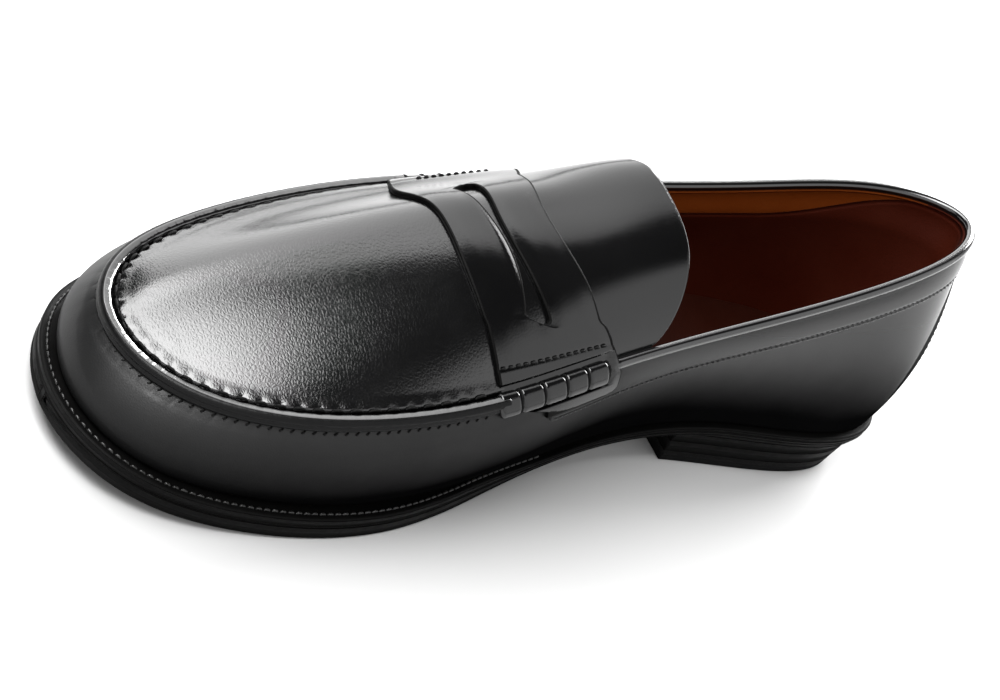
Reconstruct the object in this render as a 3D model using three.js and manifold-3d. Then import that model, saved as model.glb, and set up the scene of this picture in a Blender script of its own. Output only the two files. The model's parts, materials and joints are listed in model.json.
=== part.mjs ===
// A right-foot penny loafer in millimetres: +X to the toe, +Y to the medial (inner) side, +Z up,
// standing on z = 0. Every leather piece is a slice of one of two shared surfaces: the side wall,
// which rises from the sole to the top line, and the cover, which bridges the top line above the
// instep. A place on the wall is (u, v) and a place on the cover is (k, t).
import * as THREE from "three";
import { mergeVertices } from "three/addons/utils/BufferGeometryUtils.js";
import Module from "manifold-3d";

const wasm = await Module();
wasm.setup();

// ------------------------------------------------------------------ driving dimensions
const GAP = 0.3; // air between neighbouring pieces
const END_TRIM = 0.06; // blunts round ends, so that no row of faces shrinks to a point

// Control points of the sole's edge, from the heel round the medial side to the toe and back.
const SOLE_OUTLINE = [
  [-151, 6], [-144.5, 28], [-120, 35], [-80.5, 28], [-40, 23.5], [2.5, 33],
  [44, 50.5], [91, 48], [128, 37.5], [144.5, 7.5], [132, -28.5], [98.5, -47.5],
  [53.5, -55.5], [5, -48], [-44.5, -35.5], [-94, -32], [-137, -21],
];
// Control points of the top line: collar, strap end, apron seam round the toe, and back.
const TOP_LINE = [
  [-152, -2.5, 88], [-144, 13, 88], [-118, 21.5, 82], [-77.5, 26.5, 71.5], [-40.5, 29, 62],
  [-2.5, 36, 56.5], [37, 45, 48], [82, 42.5, 39], [115.5, 28, 33], [131, 4.5, 33],
  [123, -21.5, 33], [90.5, -34.5, 39], [44.5, -38.5, 50], [-0.5, -35.5, 57.5],
  [-48.5, -31, 63.5], [-90, -27, 70.5], [-130.5, -21.5, 81],
];
const TURN = SOLE_OUTLINE.length; // u runs once round the shoe as it goes from 0 to TURN
const TOE = 8.95; // u of the toe's tip on the top line

// Underside of the sole: flat under the ball, sprung up at the toe, raised on the heel.
const TOE_SPRING = 8;
const SPRING_START = 60;
const SPRING_END = 150;
const HEEL_SEAT = 17.5;
const ARCH_START = 25;
const ARCH_END = -85;

// Sole edge, outsole and welt thickness in the forepart and in the waist.
const EDGE = { fore: 8.2, waist: 3.6 };
const OUTSOLE = { fore: 4.6, waist: 1.8 };
const THICKNESS_BLEND = [-20, 20];
const FEATHER = { fore: 5, rear: 2, blend: [0, 50] }; // how far the upper stands in from the edge
const WELT_INNER = 6; // welt width inside the feather line
const INSOLE_INSET = 5.3;
const INSOLE_THICK = 2.3;
const SOCK_THICK = 1;

const HEEL_FRONT = { floor: -68, seat: -64 }; // x of the heel breast
const HEEL_INSET = { floor: 4.5, seat: 1.8 };
const HEEL_LAYERS = { heel_top_piece: 5, heel_lift_2: 5, heel_lift_1: 4.6 };
const RAND = { height: 1.5, width: 9, lateral: -2.55, medial: 3.35 }; // its ends are in u
const NAIL = { shaft: 0.9, head: 1.9, headHeight: 0.6, tip: 6, ring: 12, clearance: 0.35 };
const NAIL_PLACES = [-1.6, -0.7, 0.3, 1.3, 2.3]; // u of each nail round the heel seat
const SHANK = { from: -98, to: -12, halfWidth: 6, thick: 0.9, slot: 0.5 };

// Depth of each layer below the outer face, as [outer face, inner face].
const LEATHER = [0, 1.6];
const STIFFENER = [2.05, 2.9];
const WALL_LINING = [3.35, 4.15];
const COVER_LEATHER = [0, 1.5];
const COVER_LINING = [2.1, 2.85];
const STRAP = [-2.25, -0.4];
const BACKSTAY = [-1.4, -0.4];
const STAY = { foot: 0.95, top: 0.5, taper: [0.35, 0.95], span: [0.01, 0.93] }; // half widths in u
const COUNTER = { from: -2.3, to: 2.9, top: 0.7 }; // heel stiffener, in u and v
const PUFF = { from: 7.2, to: 10.7, top: 0.74 }; // toe stiffener
const LINING_FOOT = 0.02; // v at which stiffeners and linings start
// u at which the linings of the wall meet, from the medial quarter round the toe and the heel.
const LINING_SEAMS = [1.95, 5.03, 12.87, 15.57];
const SEAM_GAP = 0.025; // half the gap at those seams, in u

// Lean of the side wall away from upright, in degrees: at the feather line and at the top.
const LEAN_FOOT = { toe: 30, waist: 16, heel: 9 };
const LEAN_TOP = { fore: 47, rear: 16 };
const COLLAR_WIDTH = 12;
const COLLAR = { front: 4.5, stepFrom: 4.3, stepTo: 4.42 }; // k of its end, and of the wall's step

// Height of the cover above the chord between the two top lines, at k = -1, 0, 1 ... 7.
const CROWN = [-5, 0.1, 6.1, 14.4, 20.7, 21.8, 24.1, 27.5, 31.5];
const ARCH_POWER = { toe: 2.2, rear: 3.6 };
const ARCH_SKEW = 0.16;
// The instep's lateral shoulder is flatter: how deep, over which k, and how it runs across t.
const SHOULDER = { depth: 5.3, from: 1, full: 3.4, gone: 4.6, start: -0.2, bias: 1.5 };

// Edges of strap, slot and tongue as k = middle + slope * t + sweep * t * t.
const STRAP_FRONT = [3.03, 0.02, 0.08];
const STRAP_REAR = [3.78, 0, 0.36];
const SLOT_FRONT = [3.4, 0, -0.13];
const SLOT_REAR = [3.445, 0, 0.27];
const SLOT_ENDS = [-0.55, 0.66];
const SLOT_MIDDLE = 0.06;
const TONGUE_END = 4.76;
const TONGUE_CORNER = 3.8;
const TONGUE_SPAN = [3.8, 4, 4.2, 4.4, 4.6]; // k at which the tongue's width is taken
const STRAP_SPAN = [3.1, 3.3, 3.5, 3.7, 3.9, 4.1]; // k at which the strap's length is taken
const BUTT = 0.01; // half the gap between covers that meet edge to edge, in k

const RIDGE = { radius: 1.9, lift: 0.9, end: 3.05 };
const ROLL = { radius: 3.3, outer: 4.3, drop: 1.6, aim: 0.85, front: 3.17, rear: 4.12 };
const LASHINGS = 5;
const THREAD = 0.35; // radius of the lacing round the beef rolls
const BINDING = { radius: 1.6, end: 4.27 };

// Materials, one per kind of surface.
const finish = (color, roughness, metalness = 0) =>
  new THREE.MeshStandardMaterial({ color, roughness, metalness });
const BLACK_LEATHER = finish(0x17171a, 0.35);
const BLACK_EDGE = finish(0x1b1b1c, 0.55);
const BLACK_THREAD = finish(0x101011, 0.7);
const BROWN_LINING = finish(0x6d3413, 0.6);
const TEXTILE = finish(0x8a7f6c, 0.9);
const BOARD = finish(0x9a7b52, 0.85);
const CORK = finish(0xa9814f, 0.95);
const RUBBER = finish(0x161617, 0.75);
const STEEL = finish(0xb9bbbd, 0.35, 1);

// ------------------------------------------------------------------ curves
const degrees = THREE.MathUtils.degToRad;
const mix = THREE.MathUtils.lerp;
const UP = new THREE.Vector3(0, 0, 1);

// 0 at a, 1 at b and smooth between, with a and b in either order.
function ease(a, b, x) {
  const part = THREE.MathUtils.clamp((x - a) / (b - a), 0, 1);
  return part * part * (3 - 2 * part);
}

// A uniform cubic B-spline blend of four neighbouring values.
function blend(f, a, b, c, d) {
  const rest = 1 - f;
  const near = 3 * f * f * f - 6 * f * f + 4;
  const far = -3 * f * f * f + 3 * f * f + 3 * f + 1;
  return (rest * rest * rest * a + near * b + far * c + f * f * f * d) / 6;
}

// A point of a closed curve at u, from its control points.
function around(points, u) {
  const count = points.length;
  const turned = ((u % count) + count) % count;
  const first = Math.floor(turned);
  const near = [-1, 0, 1, 2].map((step) => points[(first + step + count) % count]);
  const axis = (i) => blend(turned - first, ...near.map((point) => point[i] ?? 0));
  return new THREE.Vector3(axis(0), axis(1), axis(2));
}

const topLine = (u) => around(TOP_LINE, u);
const parabola = ([middle, slope, sweep], t) => middle + slope * t + sweep * t * t;

function soleZ(x) {
  const rise = Math.max((x - SPRING_START) / (SPRING_END - SPRING_START), 0);
  return TOE_SPRING * rise * rise + HEEL_SEAT * ease(ARCH_START, ARCH_END, x);
}
const foreToWaist = (sizes, x) => mix(sizes.waist, sizes.fore, ease(...THICKNESS_BLEND, x));
const outsoleTop = (x) => soleZ(x) + foreToWaist(OUTSOLE, x);
const featherZ = (x) => soleZ(x) + foreToWaist(EDGE, x);
const featherInset = (x) => mix(FEATHER.rear, FEATHER.fore, ease(...FEATHER.blend, x));

// Outward direction of the sole's edge in plan.
function edgeNormal(u) {
  const along = around(SOLE_OUTLINE, u + 0.01).sub(around(SOLE_OUTLINE, u - 0.01));
  return new THREE.Vector3(-along.y, along.x, 0).normalize();
}
function edgePoint(u, inset) {
  const point = around(SOLE_OUTLINE, u);
  return point.addScaledVector(edgeNormal(u), -inset(point.x));
}

// ------------------------------------------------------------------ the two shared surfaces
// The side wall's outer face: v is 0 at the feather line and 1 at the top line.
function wallPoint(u, v) {
  const outward = edgeNormal(u);
  const foot = edgePoint(u, featherInset);
  foot.z = featherZ(foot.x);
  const top = topLine(u);
  const height = top.distanceTo(foot);
  const x = around(SOLE_OUTLINE, u).x;
  const toWaist = ease(-30, 60, x);
  const toHeel = ease(-60, -140, x);
  const footLean = degrees(
    mix(LEAN_FOOT.waist, LEAN_FOOT.toe, toWaist) + (LEAN_FOOT.heel - LEAN_FOOT.waist) * toHeel,
  );
  const topLean = degrees(mix(LEAN_TOP.fore, LEAN_TOP.rear, ease(40, -40, x)));
  const footPull = foot.clone()
    .addScaledVector(outward, 0.4 * height * Math.sin(footLean))
    .addScaledVector(UP, 0.4 * height * Math.cos(footLean));
  const topPull = top.clone()
    .addScaledVector(outward, 0.36 * height * Math.sin(topLean))
    .addScaledVector(UP, -0.36 * height * Math.cos(topLean));
  return new THREE.CubicBezierCurve3(foot, footPull, topPull, top).getPoint(v);
}

// The cover: k steps back from the toe along both top lines, t is 1 medial and -1 lateral.
function coverPoint(k, t) {
  const medial = topLine(TOE - k);
  const lateral = topLine(TOE + k);
  const first = THREE.MathUtils.clamp(Math.floor(k), 0, CROWN.length - 4);
  const crown = blend(k - first, ...CROWN.slice(first, first + 4));
  const power = mix(ARCH_POWER.toe, ARCH_POWER.rear, THREE.MathUtils.clamp((k - 1) / 4, 0, 1));
  const skewed = t + ARCH_SKEW * (1 - t * t);
  const point = medial.lerp(lateral, (1 - t) / 2);
  point.z += crown * (1 - Math.abs(skewed) ** power) - shoulderDip(k, t);
  return point;
}

function shoulderDip(k, t) {
  const { depth, from, full, gone, start, bias } = SHOULDER;
  const along = THREE.MathUtils.smoothstep(k, from, full) - THREE.MathUtils.smoothstep(k, full, gone);
  const across = THREE.MathUtils.clamp((start - t) / (1 + start), 0, 1) ** bias;
  return depth * along * Math.sin(Math.PI * across) ** 2;
}

// A point of a surface sunk by a depth along the surface's own normal.
function sunk(surface, a, b, depth) {
  const step = 0.004;
  const alongA = surface(a + step, b).sub(surface(a - step, b));
  const alongB = surface(a, b + step).sub(surface(a, b - step));
  return surface(a, b).addScaledVector(alongB.cross(alongA).normalize(), -depth);
}
const inWall = (u, v, depth) => sunk(wallPoint, u, v, depth);
const inCover = (k, t, depth) => sunk(coverPoint, k, t, depth);

// ------------------------------------------------------------------ the rail on the top line
// The rail is the ridge round the apron, then the beef roll, then the collar's binding.
function rollShare(k) {
  return ease(ROLL.front - 0.11, ROLL.front - 0.03, k) * ease(ROLL.rear + 0.12, ROLL.rear + 0.04, k);
}
function railPoint(u) {
  const k = Math.abs(u - TOE);
  const point = topLine(u);
  point.z += RIDGE.lift * ease(ROLL.front, RIDGE.end, k);
  const down = wallPoint(u, ROLL.aim).sub(topLine(u)).normalize();
  return point.addScaledVector(down, ROLL.drop * rollShare(k));
}
function railRadius(k) {
  const thin = k < ROLL.front ? RIDGE.radius : BINDING.radius;
  return mix(thin, ROLL.outer, rollShare(k));
}
const RAIL = [];
const RAIL_STEP = 0.02;
for (let u = TOE - TURN / 2; u < TOE + TURN / 2; u += RAIL_STEP) {
  RAIL.push({ point: railPoint(u), radius: railRadius(Math.abs(u - TOE)) });
}
function railClearance(place) {
  const clear = ({ point, radius }) => point.distanceTo(place) - radius;
  return RAIL.reduce((least, spot) => Math.min(least, clear(spot)), Infinity);
}

// The furthest share from 0 towards 1 at which every given layer still clears the rail.
function reach(place, depths, clear = GAP) {
  const free = (share) => depths.every((depth) => railClearance(place(share, depth)) >= clear);
  let low = 0;
  let high = 1;
  for (let round = 0; round < 12; round += 1) {
    const middle = (low + high) / 2;
    if (free(middle)) low = middle;
    else high = middle;
  }
  return low;
}
const wallTop = (u, layer) => reach((v, depth) => inWall(u, v, depth), layer);
const coverSide = (k, side, layer) => reach((t, depth) => inCover(k, side * t, depth), layer);

// ------------------------------------------------------------------ closed bodies
// A closed body between two grids of points; a looped one joins its last row to its first.
function shell({ rows, columns, loop = false, outer, inner }) {
  const lines = loop ? rows : rows + 1;
  const width = columns + 1;
  const positions = [];
  for (const face of [outer, inner]) {
    for (let i = 0; i < lines; i += 1) {
      for (let j = 0; j < width; j += 1) positions.push(...face(i / rows, j / columns).toArray());
    }
  }
  const at = (face, i, j) => face * lines * width + (i % lines) * width + j;
  const index = [];
  const quad = (a, b, c, d) => index.push(a, b, c, a, c, d);
  for (let i = 0; i < rows; i += 1) {
    for (let j = 0; j < columns; j += 1) {
      quad(at(0, i, j), at(0, i + 1, j), at(0, i + 1, j + 1), at(0, i, j + 1));
      quad(at(1, i, j), at(1, i, j + 1), at(1, i + 1, j + 1), at(1, i + 1, j));
    }
    quad(at(0, i, 0), at(1, i, 0), at(1, i + 1, 0), at(0, i + 1, 0));
    quad(at(0, i + 1, columns), at(1, i + 1, columns), at(1, i, columns), at(0, i, columns));
  }
  if (!loop) {
    for (let j = 0; j < columns; j += 1) {
      quad(at(0, 0, j + 1), at(1, 0, j + 1), at(1, 0, j), at(0, 0, j));
      quad(at(0, rows, j), at(1, rows, j), at(1, rows, j + 1), at(0, rows, j + 1));
    }
  }
  const geometry = new THREE.BufferGeometry();
  geometry.setAttribute("position", new THREE.Float32BufferAttribute(positions, 3));
  geometry.setIndex(index);
  return facingOut(geometry);
}

// Turns every face round when the body's faces point inwards.
function facingOut(geometry) {
  const { position } = geometry.attributes;
  const corners = [0, 1, 2].map(() => new THREE.Vector3());
  const index = geometry.index.array;
  let volume = 0;
  for (let i = 0; i < index.length; i += 3) {
    corners.forEach((corner, n) => corner.fromBufferAttribute(position, index[i + n]));
    volume += corners[0].dot(corners[1].cross(corners[2]));
  }
  if (volume < 0) index.reverse();
  return geometry;
}

// A piece of the wall between two places round the shoe.
function wallPiece({ from, to, rows, columns, layer, low = () => 0, high, loop = false }) {
  const top = high ?? ((u) => wallTop(u, layer));
  const spans = new Map();
  const span = (u) => {
    if (!spans.has(u)) spans.set(u, [low(u), top(u)]);
    return spans.get(u);
  };
  const face = (depth) => (a, b) => {
    const u = mix(from, to, a);
    return inWall(u, mix(...span(u), b), depth);
  };
  return shell({ rows, columns, loop, outer: face(layer[0]), inner: face(layer[1]) });
}

// A piece of the cover between a front and a rear edge, reaching to the rail on both sides.
function coverPiece({ front, rear, rows, columns, layer, crowd = 1 }) {
  const sides = new Map();
  const side = (k, sign) => {
    const key = `${k.toFixed(4)} ${sign}`;
    if (!sides.has(key)) sides.set(key, coverSide(k, sign, layer));
    return sides.get(key);
  };
  const face = (depth) => (a, b) => {
    const across = 2 * b - 1;
    const end = Math.sign(across) || 1;
    const t = across * side(mix(front(end), rear(end), a ** crowd), end);
    return inCover(mix(front(t), rear(t), a ** crowd), t, depth);
  };
  return shell({ rows, columns, outer: face(layer[0]), inner: face(layer[1]) });
}

// The left and right edge of the sole in plan, at any x, with the edge moved in by an inset.
function planEdges(inset) {
  const steps = 340;
  const points = Array.from({ length: steps }, (_, i) => edgePoint((i * TURN) / steps, inset));
  const xs = points.map((point) => point.x);
  const back = xs.indexOf(Math.min(...xs));
  const front = xs.indexOf(Math.max(...xs));
  const walk = (step) => {
    const path = [];
    for (let i = back; i !== front; i = (i + step + steps) % steps) path.push(points[i]);
    return [...path, points[front]];
  };
  const sides = [walk(-1), walk(1)];
  const y = (x, side) => {
    const path = sides[side];
    const next = Math.max(path.findIndex((point) => point.x >= x), 1);
    const [a, b] = [path[next - 1], path[next]];
    return mix(a.y, b.y, THREE.MathUtils.clamp((x - a.x) / (b.x - a.x), 0, 1));
  };
  return { back: points[back].x, front: points[front].x, y };
}

// A layer of the bottom: its rows run across the shoe and crowd together at round ends.
function plate({ rows, columns, inset, lowInset = inset, low, high, front, lowFront = front }) {
  const face = (edges, level, end) => {
    const last = end ?? edges.front - END_TRIM;
    const first = edges.back + END_TRIM;
    return (a, b) => {
      const round = (1 - Math.cos(Math.PI * a)) / 2;
      const share = end === undefined ? round : 1 - Math.cos((Math.PI * a) / 2);
      const x = mix(first, last, share);
      return new THREE.Vector3(x, mix(edges.y(x, 0), edges.y(x, 1), b), level(x));
    };
  };
  return shell({
    rows,
    columns,
    outer: face(planEdges(inset), high, front),
    inner: face(planEdges(lowInset), low, lowFront),
  });
}
// A strip that runs round the sole's edge, from its outer inset to its inner inset.
function edgeStrip({ from = 0, to = TURN, rows, outerInset, innerInset, low, high }) {
  const face = (level) => (a, b) => {
    const u = mix(from, to, a);
    const point = edgePoint(u, (x) => mix(outerInset(x), innerInset(x), b));
    point.z = level(point.x);
    return point;
  };
  const loop = to - from === TURN;
  return shell({ rows, columns: 1, loop, outer: face(high), inner: face(low) });
}

// A round bar along a path.
class Path extends THREE.Curve {
  constructor(place) {
    super();
    this.place = place;
  }

  getPoint(share) {
    return this.place(share);
  }
}
function bar(place, radius, steps, sides = 8) {
  const section = new THREE.Shape();
  section.absarc(0, 0, radius, 0, 2 * Math.PI);
  return new THREE.ExtrudeGeometry(section, {
    steps,
    curveSegments: sides / 2,
    bevelEnabled: false,
    extrudePath: new Path(place),
  });
}

// ------------------------------------------------------------------ cutting
function solid(geometry) {
  const bare = geometry.clone();
  bare.deleteAttribute("normal");
  bare.deleteAttribute("uv");
  const merged = mergeVertices(bare, 1e-4);
  return new wasm.Manifold(
    new wasm.Mesh({
      numProp: 3,
      vertProperties: merged.attributes.position.array,
      triVerts: new Uint32Array(merged.index.array),
    }),
  );
}
function cut(geometry, ...tools) {
  const left = tools.reduce((body, tool) => body.subtract(solid(tool)), solid(geometry));
  const mesh = left.getMesh();
  const result = new THREE.BufferGeometry();
  result.setAttribute("position", new THREE.Float32BufferAttribute(mesh.vertProperties, 3));
  result.setIndex([...mesh.triVerts]);
  return result;
}

// ------------------------------------------------------------------ bottom and heel
const level = (z) => () => z;
const inset = (size) => () => size;
const weltInset = (x) => featherInset(x) + WELT_INNER;
const insoleInset = (x) => featherInset(x) + INSOLE_INSET;
const insoleTop = (x) => featherZ(x) + INSOLE_THICK;

// A flat-headed nail standing on its tip, or the hole that it needs.
function nail(u, extra = 0) {
  const place = edgePoint(u, inset(NAIL.ring));
  const top = insoleTop(place.x) + extra;
  const neck = insoleTop(place.x) - NAIL.headHeight - extra;
  const tip = NAIL.tip - extra;
  const profile = [
    [0, tip],
    [NAIL.shaft + extra, tip],
    [NAIL.shaft + extra, neck],
    [NAIL.head + extra, neck],
    [NAIL.head + extra, top],
    [0, top],
  ].map(([r, z]) => new THREE.Vector2(r, z));
  return new THREE.LatheGeometry(profile, 10).rotateX(Math.PI / 2).translate(place.x, place.y, 0);
}
const nailHoles = () => NAIL_PLACES.map((u) => nail(u, NAIL.clearance));

function shankBar(extra) {
  const middle = planEdges(inset(0));
  const face = (offset) => (a, b) => {
    const x = mix(SHANK.from - extra, SHANK.to + extra, a);
    const centre = (middle.y(x, 0) + middle.y(x, 1)) / 2;
    const half = SHANK.halfWidth + extra;
    return new THREE.Vector3(x, centre + mix(-half, half, b), outsoleTop(x) + GAP + offset);
  };
  const [outer, inner] = [face(SHANK.thick + 2 * extra), face(-2 * extra)];
  return shell({ rows: 10, columns: 1, outer, inner });
}

function outsole() {
  const body = plate({ rows: 34, columns: 3, inset: inset(0), low: soleZ, high: outsoleTop });
  return cut(body, ...nailHoles());
}
function welt() {
  return edgeStrip({
    rows: 72,
    outerInset: inset(0),
    innerInset: weltInset,
    low: (x) => outsoleTop(x) + GAP,
    high: (x) => featherZ(x) - GAP,
  });
}
function corkFiller() {
  const body = plate({
    rows: 24,
    columns: 2,
    inset: (x) => weltInset(x) + GAP,
    low: (x) => outsoleTop(x) + GAP,
    high: (x) => featherZ(x) - GAP,
  });
  return cut(body, shankBar(SHANK.slot), ...nailHoles());
}
function insole() {
  const body = plate({ rows: 28, columns: 3, inset: insoleInset, low: featherZ, high: insoleTop });
  return cut(body, ...nailHoles());
}
function sockLining() {
  return plate({
    rows: 28,
    columns: 3,
    inset: insoleInset,
    low: (x) => insoleTop(x) + GAP,
    high: (x) => insoleTop(x) + GAP + SOCK_THICK,
  });
}

// One layer of the heel, tapering in towards the floor.
function heelLayer(low, high) {
  const share = (z) => z / HEEL_SEAT;
  const insetAt = (z) => inset(mix(HEEL_INSET.floor, HEEL_INSET.seat, share(z)));
  const frontAt = (z) => mix(HEEL_FRONT.floor, HEEL_FRONT.seat, share(z));
  return plate({
    rows: 14,
    columns: 3,
    inset: insetAt(high),
    lowInset: insetAt(low),
    low: level(low),
    high: level(high),
    front: frontAt(high),
    lowFront: frontAt(low),
  });
}
function heelRand(from) {
  return edgeStrip({
    from: RAND.lateral,
    to: RAND.medial,
    rows: 30,
    outerInset: inset(1),
    innerInset: inset(RAND.width),
    low: level(from),
    high: (x) => Math.min(from + RAND.height, soleZ(x) - GAP),
  });
}

// ------------------------------------------------------------------ upper
const collarTop = (u) => wallTop(u, LEATHER);
function collarFoot(u) {
  const height = topLine(u).distanceTo(wallPoint(u, 0));
  return 1 - COLLAR_WIDTH / height;
}

// The wall reaches the rail round the toe and stops below the collar band behind the strap.
function sideWallTop(u) {
  const k = Math.min(Math.abs(u - TOE), Math.abs(u - TURN - TOE));
  const height = topLine(u).distanceTo(wallPoint(u, 0));
  return mix(collarTop(u), collarFoot(u) - GAP / height, ease(COLLAR.stepFrom, COLLAR.stepTo, k));
}
function sideWall() {
  return wallPiece({
    from: 0,
    to: TURN,
    rows: 76,
    columns: 5,
    loop: true,
    layer: LEATHER,
    high: sideWallTop,
  });
}
function collarBand() {
  const [from, to] = [TOE + COLLAR.front, TURN + TOE - COLLAR.front];
  return wallPiece({ from, to, rows: 44, columns: 1, layer: LEATHER, low: collarFoot });
}
function backstay() {
  const halfWidth = (v) => mix(STAY.foot, STAY.top, ease(...STAY.taper, v));
  const face = (depth) => (a, b) => {
    const v = mix(...STAY.span, a);
    return inWall(halfWidth(v) * (2 * b - 1), v, depth);
  };
  return shell({ rows: 7, columns: 7, outer: face(BACKSTAY[0]), inner: face(BACKSTAY[1]) });
}
function stiffener({ from, to, top }) {
  const [low, high] = [level(LINING_FOOT), level(top)];
  return wallPiece({ from, to, rows: 23, columns: 3, layer: STIFFENER, low, high });
}
function wallLining(start, end, rows) {
  const [from, to] = [start + SEAM_GAP, end - SEAM_GAP];
  return wallPiece({ from, to, rows, columns: 4, layer: WALL_LINING, low: level(LINING_FOOT) });
}

// How far back from the toe's tip the cover first clears the rail.
function frontOf(layer) {
  let k = 0;
  while (layer.some((depth) => railClearance(inCover(k, 0, depth)) <= GAP)) k += 0.01;
  return k;
}
const strapRear = (t) => parabola(STRAP_REAR, t);

function apron() {
  const start = frontOf(COVER_LEATHER);
  return coverPiece({
    front: level(start),
    rear: (t) => strapRear(t) - BUTT,
    rows: 18,
    columns: 10,
    layer: COVER_LEATHER,
    crowd: 1.6,
  });
}
function apronLining() {
  const start = frontOf(COVER_LINING);
  return coverPiece({
    front: level(start),
    rear: (t) => strapRear(t) - BUTT,
    rows: 14,
    columns: 8,
    layer: COVER_LINING,
    crowd: 1.6,
  });
}

// How far a piece of even width may reach to one side over a stretch of the cover.
function coverWidth(span, side, layer) {
  return Math.min(...span.map((k) => coverSide(k, side, layer)));
}

// The tongue runs back from the strap to a straight end with large round corners.
function tongueEnd(t) {
  const round = (1 - Math.abs(t) ** TONGUE_CORNER) ** (1 / TONGUE_CORNER);
  return mix(strapRear(t), TONGUE_END, round);
}
function tonguePiece(layer, rows, columns) {
  const side = Math.min(coverWidth(TONGUE_SPAN, 1, layer), coverWidth(TONGUE_SPAN, -1, layer));
  const face = (depth) => (a, b) => {
    const t = side * Math.sin((Math.PI / 2) * (2 * b - 1));
    return inCover(mix(strapRear(t) + BUTT, tongueEnd(t), a), t, depth);
  };
  return shell({ rows, columns, outer: face(layer[0]), inner: face(layer[1]) });
}

// The strap crosses the apron; the slot through it is narrow in the middle and wide at its ends.
function strap() {
  const ends = [-1, 1].map((side) => coverWidth(STRAP_SPAN, side, STRAP));
  const face = (depth) => (a, b) => {
    const t = mix(-ends[0], ends[1], b);
    return inCover(mix(parabola(STRAP_FRONT, t), strapRear(t), a), t, depth);
  };
  const body = shell({ rows: 6, columns: 20, outer: face(STRAP[0]), inner: face(STRAP[1]) });
  const slotFace = (depth) => (a, b) => {
    const t = mix(...SLOT_ENDS, a);
    const edge = b ? SLOT_REAR : SLOT_FRONT;
    return inCover(parabola(edge, t - SLOT_MIDDLE), t, depth);
  };
  const [above, below] = [slotFace(STRAP[0] - 1), slotFace(STRAP[1] + 1)];
  return cut(body, shell({ rows: 14, columns: 1, outer: above, inner: below }));
}

// The roll at the strap's end, on the medial (-1) or lateral (1) side of the toe.
const rollPlace = (side) => (share) => railPoint(TOE + side * mix(ROLL.front, ROLL.rear, share));
function beefRoll(side) {
  return bar(rollPlace(side), ROLL.radius, 12, 12);
}
// One loop of the lacing that ties the roll down, round the roll at its own place along it.
function lashing(side, number) {
  const share = (number - 0.5) / LASHINGS;
  const place = rollPlace(side);
  const along = place(share + 0.02).sub(place(share - 0.02)).normalize();
  const facing = new THREE.Quaternion().setFromUnitVectors(UP, along);
  const loop = new THREE.TorusGeometry(ROLL.radius + GAP + THREAD, THREAD, 5, 16);
  return loop.applyQuaternion(facing).translate(...place(share).toArray());
}

function apronRidge() {
  return bar((share) => railPoint(TOE + mix(-RIDGE.end, RIDGE.end, share)), RIDGE.radius, 72);
}
function toplineBinding() {
  const from = TOE + BINDING.end;
  return bar((share) => railPoint(mix(from, TURN + TOE - BINDING.end, share)), BINDING.radius, 84);
}

// ------------------------------------------------------------------ assembly
const loafer = new THREE.Group();
function add(name, geometry, material) {
  const mesh = new THREE.Mesh(geometry, material);
  mesh.name = name;
  loafer.add(mesh);
}

let floor = 0;
for (const [name, height] of Object.entries(HEEL_LAYERS)) {
  const layer = heelLayer(floor, floor + height);
  const nailed = floor + height > NAIL.tip;
  const material = name === "heel_top_piece" ? RUBBER : BLACK_EDGE;
  add(name, nailed ? cut(layer, ...nailHoles()) : layer, material);
  floor += height + GAP;
}
add("heel_rand", heelRand(floor), BLACK_EDGE);
add("outsole", outsole(), RUBBER);
add("welt", welt(), BLACK_EDGE);
add("cork_filler", corkFiller(), CORK);
add("shank", shankBar(0), STEEL);
add("insole", insole(), BOARD);
add("sock_lining", sockLining(), BROWN_LINING);
NAIL_PLACES.forEach((u, i) => add(`heel_nail_${i + 1}`, nail(u), STEEL));

add("side_wall", sideWall(), BLACK_LEATHER);
add("collar_band", collarBand(), BLACK_LEATHER);
add("topline_binding", toplineBinding(), BLACK_LEATHER);
add("backstay", backstay(), BLACK_LEATHER);
add("heel_counter", stiffener(COUNTER), BOARD);
add("toe_puff", stiffener(PUFF), BOARD);
const [gripEnd, vampStart, vampEnd, gripStart] = LINING_SEAMS;
add("quarter_lining_medial", wallLining(gripEnd, vampStart, 16), BROWN_LINING);
add("vamp_lining", wallLining(vampStart, vampEnd, 40), TEXTILE);
add("quarter_lining_lateral", wallLining(vampEnd, gripStart, 14), BROWN_LINING);
add("heel_grip_lining", wallLining(gripStart, gripEnd + TURN, 18), BROWN_LINING);

add("apron", apron(), BLACK_LEATHER);
add("apron_lining", apronLining(), TEXTILE);
add("apron_ridge", apronRidge(), BLACK_LEATHER);
add("saddle_strap", strap(), BLACK_LEATHER);
add("tongue", tonguePiece(COVER_LEATHER, 8, 14), BLACK_LEATHER);
add("tongue_lining", tonguePiece(COVER_LINING, 6, 12), BROWN_LINING);
for (const [name, side] of [["medial", -1], ["lateral", 1]]) {
  add(`beef_roll_${name}`, beefRoll(side), BLACK_LEATHER);
  for (let number = 1; number <= LASHINGS; number += 1) {
    add(`roll_lashing_${name}_${number}`, lashing(side, number), BLACK_THREAD);
  }
}

// The origin is the middle of the shoe's box in plan, on the floor.
const middle = new THREE.Box3().setFromObject(loafer).getCenter(new THREE.Vector3());
loafer.children.forEach((mesh) => mesh.position.set(-middle.x, -middle.y, 0));

export default loafer;
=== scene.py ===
import json
import math

import bmesh
import bpy
import numpy as np
from mathutils import Matrix, Vector


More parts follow.
